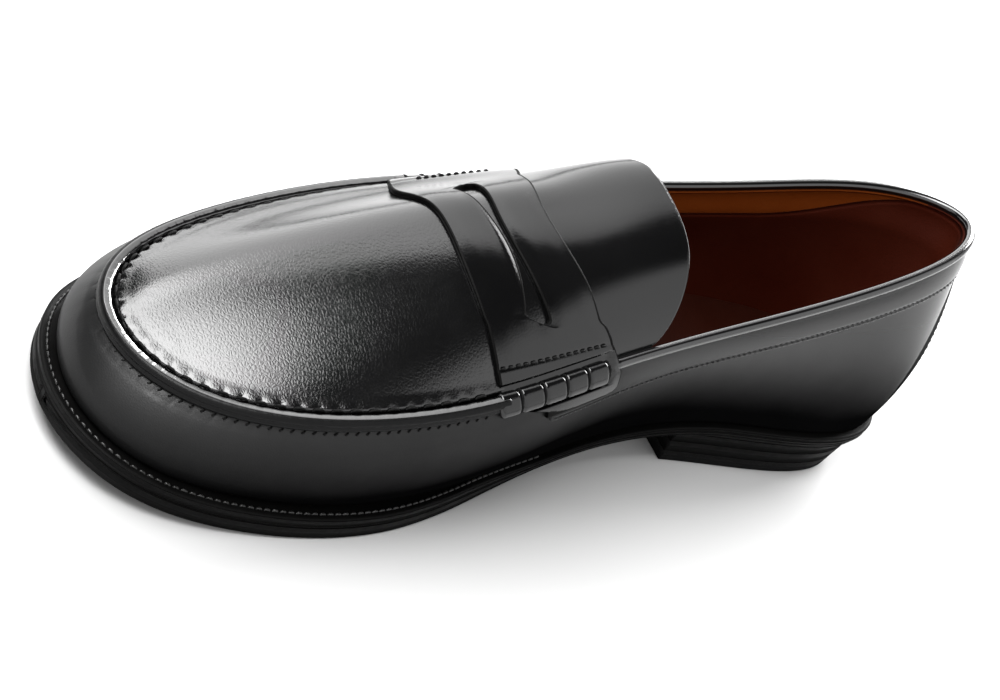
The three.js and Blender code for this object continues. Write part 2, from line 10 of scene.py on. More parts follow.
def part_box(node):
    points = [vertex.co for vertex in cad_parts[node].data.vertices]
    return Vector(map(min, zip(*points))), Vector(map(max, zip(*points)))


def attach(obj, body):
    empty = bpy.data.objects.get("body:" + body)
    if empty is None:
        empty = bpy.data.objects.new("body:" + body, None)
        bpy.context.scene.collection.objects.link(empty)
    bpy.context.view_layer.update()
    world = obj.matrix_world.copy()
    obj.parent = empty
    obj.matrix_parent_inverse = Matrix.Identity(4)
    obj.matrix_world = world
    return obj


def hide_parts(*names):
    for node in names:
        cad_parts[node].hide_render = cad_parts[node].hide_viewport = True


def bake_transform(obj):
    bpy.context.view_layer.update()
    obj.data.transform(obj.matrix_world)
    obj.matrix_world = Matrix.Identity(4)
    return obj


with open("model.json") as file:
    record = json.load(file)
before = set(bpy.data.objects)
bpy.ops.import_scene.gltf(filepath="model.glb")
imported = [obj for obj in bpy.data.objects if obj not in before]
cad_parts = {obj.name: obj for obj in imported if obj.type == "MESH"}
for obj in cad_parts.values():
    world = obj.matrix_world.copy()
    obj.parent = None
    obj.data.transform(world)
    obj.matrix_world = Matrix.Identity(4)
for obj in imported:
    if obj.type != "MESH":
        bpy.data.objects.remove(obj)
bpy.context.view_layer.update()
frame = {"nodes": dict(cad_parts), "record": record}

# The looks of a right-foot penny loafer. Shapes are worked out in millimetres in the shoe's pattern
# frame (+X toe, +Y medial side, +Z up) and turned into metres in the CAD frame as they are made.
# The side wall, u round the shoe and v up from the sole, and the cover, k back from the toe and t
# across, are the CAD model's own two surfaces; every leather piece is laid on one of them.

# ------------------------------------------------------------------ pattern
SOLE_OUTLINE = np.array([
    (-151, 6), (-144.5, 28), (-120, 35), (-80.5, 28), (-40, 23.5), (2.5, 33), (44, 50.5), (91, 48),
    (128, 37.5), (144.5, 7.5), (132, -28.5), (98.5, -47.5), (53.5, -55.5), (5, -48), (-44.5, -35.5),
    (-94, -32), (-137, -21)])
TOP_LINE = np.array([
    (-152, -2.5, 88), (-144, 13, 88), (-118, 21.5, 82), (-77.5, 26.5, 71.5), (-40.5, 29, 62),
    (-2.5, 36, 56.5), (37, 45, 48), (82, 42.5, 39), (115.5, 28, 33), (131, 4.5, 33),
    (123, -21.5, 33), (90.5, -34.5, 39), (44.5, -38.5, 50), (-0.5, -35.5, 57.5),
    (-48.5, -31, 63.5), (-90, -27, 70.5), (-130.5, -21.5, 81)])
TURN = len(SOLE_OUTLINE)
TOE = 8.95
TOE_SPRING, SPRING_START, SPRING_END = 8, 60, 150
HEEL_SEAT, ARCH_START, ARCH_END = 17.5, 25, -85
EDGE_FORE, EDGE_WAIST = 8.2, 3.6
OUTSOLE_FORE, OUTSOLE_WAIST = 4.6, 1.8
FEATHER_FORE, FEATHER_REAR = 5, 2
LEAN_TOE, LEAN_WAIST, LEAN_HEEL = 30, 16, 9
LEAN_TOP_FORE, LEAN_TOP_REAR = 47, 16
CROWN = np.array([-5, 0.1, 6.1, 14.4, 20.7, 21.8, 24.1, 27.5, 31.5])
ARCH_TOE, ARCH_REAR, ARCH_SKEW = 2.2, 3.6, 0.16
SHOULDER_DEPTH, SHOULDER_START, SHOULDER_BIAS = 5.3, -0.2, 1.5
STRAP_FRONT = (3.03, 0.02, 0.08)
STRAP_REAR = (3.78, 0, 0.36)
SLOT_FRONT = (3.4, 0, -0.13)
SLOT_REAR = (3.445, 0, 0.27)
SLOT_ENDS, SLOT_MIDDLE, SLOT_ROUND = (-0.55, 0.66), 0.06, 0.045
TONGUE_END, TONGUE_CORNER = 4.76, 3.8
END_TRIM = 0.06
WELT_INNER = 6         # how far the welt reaches in past the upper's foot
WALL_LEATHER = 1.5
SIDES = ((1, "medial"), (-1, "lateral"))


def ease(a, b, x):
    part = np.clip((np.asarray(x, float) - a) / (b - a), 0, 1)
    return part * part * (3 - 2 * part)


def mix(a, b, share):
    return a + (b - a) * share


def bell(x, width):
    """A smooth bump: 1 where x is 0, fading away over the width."""
    return np.exp(-((x / width) ** 2))


def rounded(distance, radius, least=0.0):
    """The rise of a quarter-round edge: 0 at the edge and 1 from the radius inward."""
    return np.sqrt(np.clip(1 - np.clip(1 - distance / radius, 0, 1) ** 2, least, 1))


def unit(vectors):
    return vectors / np.maximum(np.linalg.norm(vectors, axis=-1, keepdims=True), 1e-12)


def blend4(f, a, b, c, d):
    near = 3 * f**3 - 6 * f**2 + 4
    far = -3 * f**3 + 3 * f**2 + 3 * f + 1
    return ((1 - f) ** 3 * a + near * b + far * c + f**3 * d) / 6


def around(points, u):
    u = np.asarray(u, float) % len(points)
    first = np.floor(u).astype(int)
    near = [points[(first + step) % len(points)] for step in (-1, 0, 1, 2)]
    return blend4((u - first)[..., None], *near)


def top_line(u):
    return around(TOP_LINE, u)


def parabola(curve, t):
    return curve[0] + curve[1] * t + curve[2] * t * t


def sole_z(x):
    rise = np.maximum((x - SPRING_START) / (SPRING_END - SPRING_START), 0)
    return TOE_SPRING * rise**2 + HEEL_SEAT * ease(ARCH_START, ARCH_END, x)


def outsole_top(x):
    return sole_z(x) + mix(OUTSOLE_WAIST, OUTSOLE_FORE, ease(-20, 20, x))


def feather_z(x):
    return sole_z(x) + mix(EDGE_WAIST, EDGE_FORE, ease(-20, 20, x))


def feather_inset(x):
    return mix(FEATHER_REAR, FEATHER_FORE, ease(0, 50, x))


def edge_normal(u):
    along = around(SOLE_OUTLINE, u + 0.01) - around(SOLE_OUTLINE, u - 0.01)
    return unit(np.stack([-along[..., 1], along[..., 0]], -1))


def edge_point(u, inset):
    point = around(SOLE_OUTLINE, u)
    depth = inset(point[..., 0]) if callable(inset) else inset
    return point - edge_normal(u) * np.asarray(depth)[..., None]


def wall(u, v):
    """The side wall's outer face: v is 0 at the sole and 1 at the top line."""
    u, v = np.broadcast_arrays(np.asarray(u, float), np.asarray(v, float))
    normal = edge_normal(u)
    foot2 = edge_point(u, feather_inset)
    foot = np.concatenate([foot2, feather_z(foot2[..., :1])], -1)
    top = top_line(u)
    height = np.linalg.norm(top - foot, axis=-1)[..., None]
    x = around(SOLE_OUTLINE, u)[..., 0]
    lean_foot = mix(LEAN_WAIST, LEAN_TOE, ease(-30, 60, x))
    lean_foot = np.radians(lean_foot + (LEAN_HEEL - LEAN_WAIST) * ease(-60, -140, x))[..., None]
    lean_top = np.radians(mix(LEAN_TOP_FORE, LEAN_TOP_REAR, ease(40, -40, x)))[..., None]
    out3 = np.concatenate([normal, np.zeros_like(normal[..., :1])], -1)
    up = np.array([0, 0, 1.0])
    pull_foot = foot + 0.4 * height * (out3 * np.sin(lean_foot) + up * np.cos(lean_foot))
    pull_top = top + 0.36 * height * (out3 * np.sin(lean_top) - up * np.cos(lean_top))
    v = v[..., None]
    return ((1 - v) ** 3 * foot + 3 * (1 - v) ** 2 * v * pull_foot
            + 3 * (1 - v) * v**2 * pull_top + v**3 * top)


def shoulder_dip(k, t):
    """How much flatter the instep's lateral shoulder is."""
    along = ease(1, 3.4, k) - ease(3.4, 4.6, k)
    across = np.clip((SHOULDER_START - t) / (1 + SHOULDER_START), 0, 1) ** SHOULDER_BIAS
    return SHOULDER_DEPTH * along * np.sin(np.pi * across) ** 2


def cover(k, t):
    """The surface that bridges the top line: t is 1 on the medial side and -1 on the lateral."""
    k, t = np.broadcast_arrays(np.asarray(k, float), np.asarray(t, float))
    medial, lateral = top_line(TOE - k), top_line(TOE + k)
    first = np.clip(np.floor(k).astype(int), 0, len(CROWN) - 4)
    crown = blend4(k - first, *(CROWN[first + step] for step in range(4)))
    power = mix(ARCH_TOE, ARCH_REAR, np.clip((k - 1) / 4, 0, 1))
    skewed = t + ARCH_SKEW * (1 - t * t)
    point = medial + (lateral - medial) * ((1 - t) / 2)[..., None]
    point[..., 2] += crown * (1 - np.abs(skewed) ** power) - shoulder_dip(k, t)
    return point


def normal_of(surface, a, b, step=0.004):
    along_a = surface(a + step, b) - surface(a - step, b)
    along_b = surface(a, b + step) - surface(a, b - step)
    return unit(np.cross(along_b, along_a))


def raised(surface, a, b, height):
    """A surface moved out along its normal by a height that may differ from place to place."""
    return surface(a, b) + normal_of(surface, a, b) * np.asarray(height)[..., None]


def wall_height(u):
    return np.linalg.norm(top_line(u) - wall(u, 0 * u), axis=-1) * 1.06


# The strap's own surface: the cover, and past the top line the wall, with the fold rounded off.
FOLD_SCALE = 40.0   # millimetres down the wall for one step of t beyond 1
FOLD_ROUND = 0.07


def folded(k, t):
    k, t = np.broadcast_arrays(np.asarray(k, float), np.asarray(t, float))
    total = 0
    for offset in np.linspace(-FOLD_ROUND, FOLD_ROUND, 7):
        place = t + offset
        on_cover = cover(k, np.clip(place, -1, 1))
        u = np.where(place > 0, TOE - k, TOE + k)
        down = np.clip(np.abs(place) - 1, 0, None) * FOLD_SCALE
        on_wall = wall(u, 1 - down / wall_height(u))
        total = total + np.where((np.abs(place) > 1)[..., None], on_wall, on_cover)
    return total / 7


# ------------------------------------------------------------------ the frame's place
outline = around(SOLE_OUTLINE, np.linspace(0, TURN, 4000))
low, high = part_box("outsole")
SHIFT = np.array([
    low.x * 1000 - END_TRIM - outline[:, 0].min(),
    (low.y + high.y) * 500 - (outline[:, 1].min() + outline[:, 1].max()) / 2,
    0.0])


def metres(points):
    return (np.asarray(points, float) + SHIFT) / 1000


# ------------------------------------------------------------------ mesh builders
def make_object(name, points, faces, material, body="shoe"):
    """One mesh from points in millimetres and a list of face arrays (quads or triangles)."""
    points = metres(points).reshape(-1, 3)
    mesh = bpy.data.meshes.new(name)
    mesh.vertices.add(len(points))
    mesh.vertices.foreach_set("co", points.astype(np.float32).ravel())
    sizes = np.concatenate([np.full(len(f), f.shape[1]) for f in faces])
    corners = np.concatenate([f.ravel() for f in faces])
    starts = np.concatenate([[0], np.cumsum(sizes)[:-1]])
    mesh.loops.add(len(corners))
    mesh.loops.foreach_set("vertex_index", corners.astype(np.int32))
    mesh.polygons.add(len(sizes))
    mesh.polygons.foreach_set("loop_start", starts.astype(np.int32))
    mesh.polygons.foreach_set("loop_total", sizes.astype(np.int32))
    mesh.polygons.foreach_set("use_smooth", np.full(len(sizes), True))
    mesh.update(calc_edges=True)
    mesh.validate()
    obj = bpy.data.objects.new(name, mesh)
    bpy.context.scene.collection.objects.link(obj)
    obj.data.materials.append(MATERIALS[material])
    if body:
        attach(obj, body)
    return obj


def grid_faces(rows, columns, start=0, loop_rows=False, loop_columns=False, flip=False):
    i = np.arange(rows if loop_rows else rows - 1)
    j = np.arange(columns if loop_columns else columns - 1)
    i, j = np.meshgrid(i, j, indexing="ij")
    i, j = i.ravel(), j.ravel()
    i2, j2 = (i + 1) % rows, (j + 1) % columns
    quads = np.stack([i * columns + j, i2 * columns + j, i2 * columns + j2, i * columns + j2], -1)
    return start + (quads[:, ::-1] if flip else quads)


def shell(name, outer, inner, material, loop=False, **more):
    """A closed body between two point grids; its rim is joined all round."""
    rows, columns = outer.shape[:2]
    count = rows * columns
    faces = [grid_faces(rows, columns, 0, loop), grid_faces(rows, columns, count, loop, flip=True)]
    order = np.arange(count).reshape(rows, columns)
    edges = [(order[:, 0], True), (order[:, -1], False)]
    if not loop:
        edges += [(order[0], False), (order[-1], True)]
    for edge, turn in edges:
        a, b = (edge, np.roll(edge, -1)) if loop else (edge[:-1], edge[1:])
        quads = np.stack([a, b, b + count, a + count], -1)
        faces.append(quads if turn else quads[:, ::-1])
    points = np.concatenate([outer.reshape(-1, 3), inner.reshape(-1, 3)])
    obj = make_object(name, points, faces, material, **more)
    fix_normals(obj)
    return obj


def fix_normals(obj):
    """Turns the faces of a closed body outward."""
    mesh = obj.data
    count = len(mesh.polygons)
    centres = np.zeros(count * 3)
    normals = np.zeros(count * 3)
    areas = np.zeros(count)
    mesh.polygons.foreach_get("center", centres)
    mesh.polygons.foreach_get("normal", normals)
    mesh.polygons.foreach_get("area", areas)
    volume = (centres.reshape(-1, 3) * normals.reshape(-1, 3)).sum(1) @ areas
    if volume < 0:
        mesh.flip_normals()


def across_path(path, hint):
    """Two directions across a path, the first as near the hint as can be."""
    tangent = unit(np.gradient(path, axis=0))
    out = unit(hint - (hint * tangent).sum(-1, keepdims=True) * tangent)
    return out, np.cross(tangent, out)


def tube(name, path, radii, material, hint, sides, squash=1.0):
    """A bar along a path with closed ends; radii has one value, or one row, for each point."""
    out, side = across_path(path, hint)
    angle = np.linspace(0, 2 * np.pi, sides, endpoint=False)
    radii = radii if radii.ndim == 2 else radii[:, None]
    ring = (out[:, None] * np.cos(angle)[None, :, None] * squash
            + side[:, None] * np.sin(angle)[None, :, None])
    points = (path[:, None] + ring * radii[..., None]).reshape(-1, 3)
    first_centre, last_centre = len(points), len(points) + 1
    points = np.concatenate([points, path[:1], path[-1:]])
    j = np.arange(sides)
    last = (len(path) - 1) * sides
    faces = [
        grid_faces(len(path), sides, 0, False, True),
        np.stack([np.full(sides, first_centre), (j + 1) % sides, j], -1)[:, ::-1],
        np.stack([np.full(sides, last_centre), last + (j + 1) % sides, last + j], -1)]
    obj = make_object(name, points, faces, material)
    fix_normals(obj)
    return obj


def round_ends(count, length, radius):
    """Radii of a bar's rings that close in a half circle at both ends."""
    place = np.linspace(0, length, count)
    return radius * rounded(np.minimum(place, length - place), radius, 0.0004)


def fan(sides):
    """The triangles that close a ring of points."""
    j = np.arange(1, sides - 1)
    return np.stack([np.zeros_like(j), j, j + 1], -1)


def stitches(name, centres, along, up, length, radius, material="thread", sink=0.5):
    """Many short stitches in one mesh: each arches up a little and dives in at both ends."""
    rings, sides = 9, 6
    s = np.linspace(-1, 1, rings)
    along, up = unit(along), unit(up)
    side = np.cross(along, up)
    lift = (1 - s**4) * (radius * 0.7 + sink) - sink
    radii = radius * (1 - 0.45 * s**6)
    angle = np.linspace(0, 2 * np.pi, sides, endpoint=False)
    spine = (centres[:, None] + along[:, None] * (s * length / 2)[None, :, None]
             + up[:, None] * lift[None, :, None])
    ring = (up[:, None] * np.cos(angle)[None, :, None] + side[:, None] * np.sin(angle)[None, :, None])
    points = spine[:, :, None] + ring[:, None] * radii[None, :, None, None]
    starts = (np.arange(len(centres)) * rings * sides)[:, None, None]
    cap = fan(sides)
    faces = [
        (starts + grid_faces(rings, sides, 0, False, True)[None]).reshape(-1, 4),
        (starts + cap[None]).reshape(-1, 3)[:, ::-1],
        (starts + (rings - 1) * sides + cap[None]).reshape(-1, 3)]
    obj = make_object(name, points.reshape(-1, 3), faces, material)
    fix_normals(obj)
    return obj


def spaced(curve, first, last, pitch):
    """Parameters along a curve that lie an even distance apart, as near the pitch as fits."""
    a = np.linspace(first, last, 4000)
    path = curve(a)
    run = np.concatenate([[0], np.cumsum(np.linalg.norm(np.diff(path, axis=0), axis=1))])
    count = max(int(round(run[-1] / pitch)), 1)
    at = (np.arange(count) + 0.5) * run[-1] / count
    return np.interp(at, run, a)


def row_on(surface_point, surface_normal, first, last, pitch, height=0.0):
    """Centres, directions and normals of a row of stitches along a curve on a surface."""
    a = spaced(surface_point, first, last, pitch)
    step = (last - first) * 1e-4
    along = surface_point(a + step) - surface_point(a - step)
    up = surface_normal(a)
    return surface_point(a) + up * height, along, up


def sewn_row(name, surface, place, span, pitch, height, size, lift=0.0, material="thread"):
    """A row of stitches laid on a surface; place gives the surface's two values along the row."""
    def line(a):
        return raised(surface, *place(a), height)

    def normal(a):
        return normal_of(surface, *place(a))

    stitches(name, *row_on(line, normal, *span, pitch, lift), *size, material)


# ------------------------------------------------------------------ materials
class Tree:
    """Short hands for building the nodes of a material, a light or the world."""

    def __init__(self, owner):
        owner.use_nodes = True
        self.tree = owner.node_tree

    def add(self, kind, **settings):
        node = self.tree.nodes.new(kind)
        for key, value in settings.items():
            if key in node.inputs:
                node.inputs[key].default_value = value
            else:
                setattr(node, key, value)
        return node

    def link(self, source, target):
        self.tree.links.new(source, target)

    def ramp(self, source, low, high, out_low=0.0, out_high=1.0, smooth=False):
        node = self.add("ShaderNodeMapRange")
        node.interpolation_type = "SMOOTHSTEP" if smooth else "LINEAR"
        node.inputs["From Min"].default_value = low
        node.inputs["From Max"].default_value = high
        node.inputs["To Min"].default_value = out_low
        node.inputs["To Max"].default_value = out_high
        self.link(source, node.inputs["Value"])
        return node.outputs["Result"]

    def math(self, operation, a, b):
        node = self.add("ShaderNodeMath", operation=operation)
        for socket, value in zip(node.inputs, (a, b)):
            if isinstance(value, (int, float)):
                socket.default_value = value
            else:
                self.link(value, socket)
        return node.outputs[0]

    def axes(self, vector):
        """The X, Y and Z of a vector."""
        node = self.add("ShaderNodeSeparateXYZ")
        self.link(vector, node.inputs[0])
        return node.outputs


class Nodes(Tree):
    """A material of its own with one shader, worked from the place on the object."""

    def __init__(self, name):
        self.material = bpy.data.materials.new(name)
        super().__init__(self.material)
        self.shader = self.tree.nodes["Principled BSDF"]
        self.place = self.add("ShaderNodeTexCoord").outputs["Object"]

    def noise(self, scale, detail=3.0, roughness=0.55, stretch=None):
        node = self.add("ShaderNodeTexNoise", Scale=scale, Detail=detail, Roughness=roughness)
        self.link(self.stretched(stretch), node.inputs["Vector"])
        return node.outputs["Fac"]

    def stretched(self, stretch):
        if stretch is None:
            return self.place
        node = self.add("ShaderNodeMapping")
        node.inputs["Scale"].default_value = stretch
        self.link(self.place, node.inputs["Vector"])
        return node.outputs["Vector"]

    def cells(self, scale, feature="DISTANCE_TO_EDGE", stretch=None, randomness=1.0):
        node = self.add("ShaderNodeTexVoronoi", feature=feature, Scale=scale, Randomness=randomness)
        self.link(self.stretched(stretch), node.inputs["Vector"])
        return node.outputs["Distance"]

    def wave(self, scale, direction="X", distortion=0.0):
        node = self.add("ShaderNodeTexWave", bands_direction=direction, Scale=scale,
                        Distortion=distortion)
        self.link(self.place, node.inputs["Vector"])
        return node.outputs["Fac"]

    def colours(self, source, first, second):
        node = self.add("ShaderNodeMix", data_type="RGBA")
        node.inputs["A"].default_value = (*first, 1)
        node.inputs["B"].default_value = (*second, 1)
        self.link(source, node.inputs["Factor"])
        self.link(node.outputs["Result"], self.shader.inputs["Base Color"])

    def bump(self, source, distance, strength=1.0, under=None):
        node = self.add("ShaderNodeBump", Distance=distance, Strength=strength)
        self.link(source, node.inputs["Height"])
        if under is not None:
            self.link(under, node.inputs["Normal"])
        self.link(node.outputs["Normal"], self.shader.inputs["Normal"])
        return node.outputs["Normal"]

    def roughness(self, source, low, high):
        self.link(self.ramp(source, 0.3, 0.7, low, high), self.shader.inputs["Roughness"])

    def set(self, **values):
        for key, value in values.items():
            self.shader.inputs[key.replace("_", " ")].default_value = value
        return self.material


def black_leather(name, grain=0.00002, rough=(0.15, 0.21), cell=1400, coat=0.3, gloss=0.5,
                  dull=None):
    """Glossy black calf: pebbled cells, fine pores, faint creases and uneven gloss. Between the two
    heights of dull, in metres, the gloss fades out towards the sole, and higher up at the heel: painted
    shade that darkens the lower wall."""
    n = Nodes(name)
    pebbles = n.ramp(n.cells(cell, stretch=(1.0, 0.7, 1.0)), 0.0, 0.3)
    pores = n.noise(5200, 2)
    creases = n.noise(420, 4, stretch=(0.55, 1.5, 1.0))
    height = n.math("ADD", n.math("MULTIPLY", pebbles, 0.55), n.math("MULTIPLY", pores, 0.25))
    height = n.math("ADD", height, n.math("MULTIPLY", creases, 0.6))
    slow = n.noise(45, 3)
    n.colours(slow, (0.0012, 0.0012, 0.0013), (0.0024, 0.0024, 0.0025))
    n.roughness(n.math("ADD", n.math("MULTIPLY", slow, 0.6), n.math("MULTIPLY", creases, 0.4)), *rough)
    n.bump(height, grain)
    n.set(Specular_IOR_Level=gloss, Coat_Weight=coat, Coat_Roughness=0.12)
    # Painted shade: between the dull heights the gloss and coat fade out and the roughness rises,
    # darkening the wall low down.
    if dull:
        place = n.axes(n.place)
        ahead = n.math("MULTIPLY", n.math("MAXIMUM", place["X"], 0.0), 0.2)
        height = n.math("ADD", place["Z"], ahead)
        gloss_left_under_painted_shade = n.ramp(n.math("ADD", height, n.math("MULTIPLY", slow, 0.004)), *dull, smooth=True)
        n.link(n.math("MULTIPLY", gloss_left_under_painted_shade, gloss), n.shader.inputs["Specular IOR Level"])
        n.link(n.math("MULTIPLY", gloss_left_under_painted_shade, coat), n.shader.inputs["Coat Weight"])
        n.link(n.ramp(gloss_left_under_painted_shade, 0.0, 1.0, 0.85, sum(rough) / 2), n.shader.inputs["Roughness"])
    return n.material


def sole_edge(name, rough=(0.38, 0.55), gloss=0.12):
    """Waxed black edge: fine lines along the layers and a few scuffs."""
    n = Nodes(name)
    layers = n.noise(900, 3, stretch=(0.15, 0.15, 2.2))
    scuffs = n.noise(160, 5)
    n.colours(scuffs, (0.0012, 0.0012, 0.0012), (0.0028, 0.0027, 0.0026))
    n.roughness(scuffs, *rough)
    n.bump(n.math("ADD", layers, n.math("MULTIPLY", scuffs, 0.6)), 0.00006)
    return n.set(Specular_IOR_Level=gloss)


def thread(name, dark, pale, rough=0.6, gloss=0.5):
    """Waxed thread with its twist showing as fine slanted ribs."""
    n = Nodes(name)
    twist = n.wave(900, "DIAGONAL", 1.0)
    n.colours(twist, dark, pale)
    n.bump(twist, 0.00005)
    return n.set(Roughness=rough, Specular_IOR_Level=gloss)


def brown_lining(name, dark, pale):
    """Cognac lining leather: close pores, clouded colour and a soft sheen."""
    n = Nodes(name)
    clouds = n.noise(38, 4)
    pores = n.cells(1700, feature="F1")
    n.colours(clouds, dark, pale)
    n.roughness(clouds, 0.5, 0.65)
    n.bump(n.math("ADD", pores, n.noise(600, 3)), 0.00005)
    return n.set(Specular_IOR_Level=0.12)


def fibre_board(name, dark, pale):
    n = Nodes(name)
    fibres = n.noise(700, 5, stretch=(1, 3, 3))
    n.colours(fibres, dark, pale)
    n.bump(fibres, 0.0001)
    return n.set(Roughness=0.85)


def cork(name):
    n = Nodes(name)
    grains = n.cells(420, feature="F1")
    n.colours(grains, (0.30, 0.17, 0.075), (0.52, 0.34, 0.17))
    n.bump(grains, 0.0003)
    return n.set(Roughness=0.95)


def textile(name):
    """Woven cotton: uneven threads that run along and across the shoe."""
    n = Nodes(name)
    along = n.noise(700, 2, stretch=(0.12, 1, 1))
    across = n.noise(700, 2, stretch=(1, 0.12, 0.12))
    weave = n.ramp(n.math("ADD", along, across), 0.7, 1.3)
    n.colours(weave, (0.30, 0.26, 0.20), (0.46, 0.41, 0.33))
    n.bump(weave, 0.0001)
    return n.set(Roughness=0.9)


def rubber(name):
    """Matt black rubber with a fine moulded texture."""
    n = Nodes(name)
    fine = n.noise(1800, 3)
    n.colours(n.noise(60, 3), (0.0012, 0.0012, 0.0012), (0.003, 0.003, 0.0031))
    n.roughness(fine, 0.6, 0.78)
    n.bump(fine, 0.00008)
    return n.set(Specular_IOR_Level=0.06)


def steel(name):
    n = Nodes(name)
    brushed = n.noise(900, 2, stretch=(0.1, 3, 3))
    n.colours(brushed, (0.42, 0.43, 0.44), (0.6, 0.61, 0.62))
    n.roughness(brushed, 0.28, 0.42)
    return n.set(Metallic=1.0)


def studio_floor(name):
    n = Nodes(name)
    n.colours(n.noise(3, 2), (0.45, 0.45, 0.45), (0.47, 0.47, 0.47))
    return n.set(Roughness=0.7, Specular_IOR_Level=0.2)


MATERIALS = {
    # The wall leather's gloss fades out low down: painted shade that darkens the lower wall.
    "leather": black_leather("leather", coat=0.2, dull=(0.030, 0.077)),
    "apron_leather": black_leather("apron_leather", 0.000032, (0.14, 0.19), 1100, 0.35, 0.6),
    "strap_leather": black_leather("strap_leather", rough=(0.11, 0.15), gloss=0.38),
    "ridge_leather": black_leather("ridge_leather", 0.000006, (0.1, 0.14), 1500, 0.9, 0.9),
    "flank_leather": black_leather("flank_leather", 0.00002, (0.35, 0.45), 1400, 0.05, 0.12),
    "binding_leather": black_leather("binding_leather", 0.000006, (0.12, 0.17), 1500, 0.7, 0.6),
    "edge": sole_edge("edge", (0.45, 0.6), 0.05),
    "heel_edge": sole_edge("heel_edge", (0.5, 0.65), 0.04),
    "thread": thread("thread", (0.0012, 0.0012, 0.0012), (0.003, 0.003, 0.003), 0.6, 0.1),
    "tonal_thread": thread("tonal_thread", (0.006, 0.006, 0.006), (0.014, 0.014, 0.014), 0.45),
    "welt_thread": thread("welt_thread", (0.004, 0.004, 0.0038), (0.01, 0.0097, 0.0094), 0.3, 0.45),
    "lining": brown_lining("lining", (0.086, 0.015, 0.0009), (0.125, 0.025, 0.0013)),
    # Painted shade: the heel grip and the sock are darker copies of the lining, standing in for the
    # shade deep inside the shoe.
    "grip": brown_lining("grip", (0.024, 0.0022, 0.0006), (0.04, 0.0052, 0.0009)),
    "sock": brown_lining("sock", (0.011, 0.0014, 0.0003), (0.018, 0.0026, 0.0005)),
    "board": fibre_board("board", (0.30, 0.19, 0.10), (0.45, 0.31, 0.18)),
    "cork": cork("cork"),
    "textile": textile("textile"),
    "rubber": rubber("rubber"),
    "steel": steel("steel"),
    "floor": studio_floor("floor"),
}
CAD_MATERIALS = {
    "black_leather": "leather", "sole_edge": "edge", "thread": "thread",
    "brown_lining": "lining", "textile_lining": "textile", "leatherboard": "board",
    "cork": "cork", "sole_rubber": "rubber", "steel": "steel",
}
for entry in frame["record"]["subparts"]:
    node = frame["nodes"][entry["node"]]
    node.data.materials.clear()
    node.data.materials.append(MATERIALS[CAD_MATERIALS[entry["material_slot"]]])


# ------------------------------------------------------------------ the rail on the top line
SEAM_END = 3.05
APRON_SPAN = (0.04, 3.75)   # k of the apron's front and of its edge under the strap
RIDGE_RADIUS = 1.8
RIDGE_ENDS = (3.17, 3.42)   # k of the ridge's ends, medial and lateral
FLANK_FROM = -0.35          # angle round the ridge at which the polished top gives way
ROLL_SPAN = {1: (3.09, 4.04), -1: (3.33, 3.93)}  # k of the rolls' ends, medial and lateral
ROLL_RADIUS, ROLL_SQUASH = 3.5, 0.62
ROLL_DOWN, ROLL_OUT = 0.9, 0.7
ROLL_BED = 1.1      # how deep the strap is pressed in under the rolls
ROLL_END_ROUND = 1.6
LASHINGS = 5
STITCH_PITCH = 5.3


def rail_frame(u):
    """Top line point, outward direction and the direction down the wall, at each u."""
    k = np.maximum(np.abs(u - TOE), 0.4)
    share = ease(-0.6, 0.6, u - TOE)[..., None]
    over = normal_of(cover, k, 0 * k + 0.93) * (1 - share) + normal_of(cover, k, 0 * k - 0.93) * share
    beside = normal_of(wall, u, 0 * u + 0.93)
    along = unit(top_line(u + 0.01) - top_line(u - 0.01))
    out = unit(over) + beside
    out = unit(out - (out * along).sum(-1, keepdims=True) * along)
    down = np.cross(along, out)
    down *= np.sign((down * (wall(u, 0 * u + 0.85) - top_line(u))).sum(-1, keepdims=True))
    return top_line(u), out, down, along


RAIL_U = np.linspace(TOE - 4.4, TOE + 4.4, 3000)
RAIL_POINTS = top_line(RAIL_U)
RAIL_RUN = np.concatenate([[0], np.cumsum(np.linalg.norm(np.diff(RAIL_POINTS, axis=0), axis=1))])
SEAM_U = spaced(top_line, TOE - SEAM_END, TOE + RIDGE_ENDS[1] - 0.1, STITCH_PITCH)
SEAM_RUN = np.interp(SEAM_U, RAIL_U, RAIL_RUN)


def rail_run(u):
    return np.interp(u, RAIL_U, RAIL_RUN)


def from_stitch(run):
    """Distance along the seam to the nearest stitch."""
    return np.abs(np.asarray(run)[..., None] - SEAM_RUN).min(-1)


def near_rail(points):
    """Distance of each point to the top line, and where along it the nearest place is."""
    flat = points.reshape(-1, 3)
    distance = np.empty(len(flat))
    run = np.empty(len(flat))
    coarse = RAIL_POINTS[::4]
    for start in range(0, len(flat), 4000):
        part = flat[start:start + 4000]
        gap = np.linalg.norm(part[:, None] - coarse[None], axis=-1)
        nearest = gap.argmin(1)
        distance[start:start + 4000] = gap.min(1)
        run[start:start + 4000] = RAIL_RUN[::4][nearest]
    return distance.reshape(points.shape[:-1]), run.reshape(points.shape[:-1])


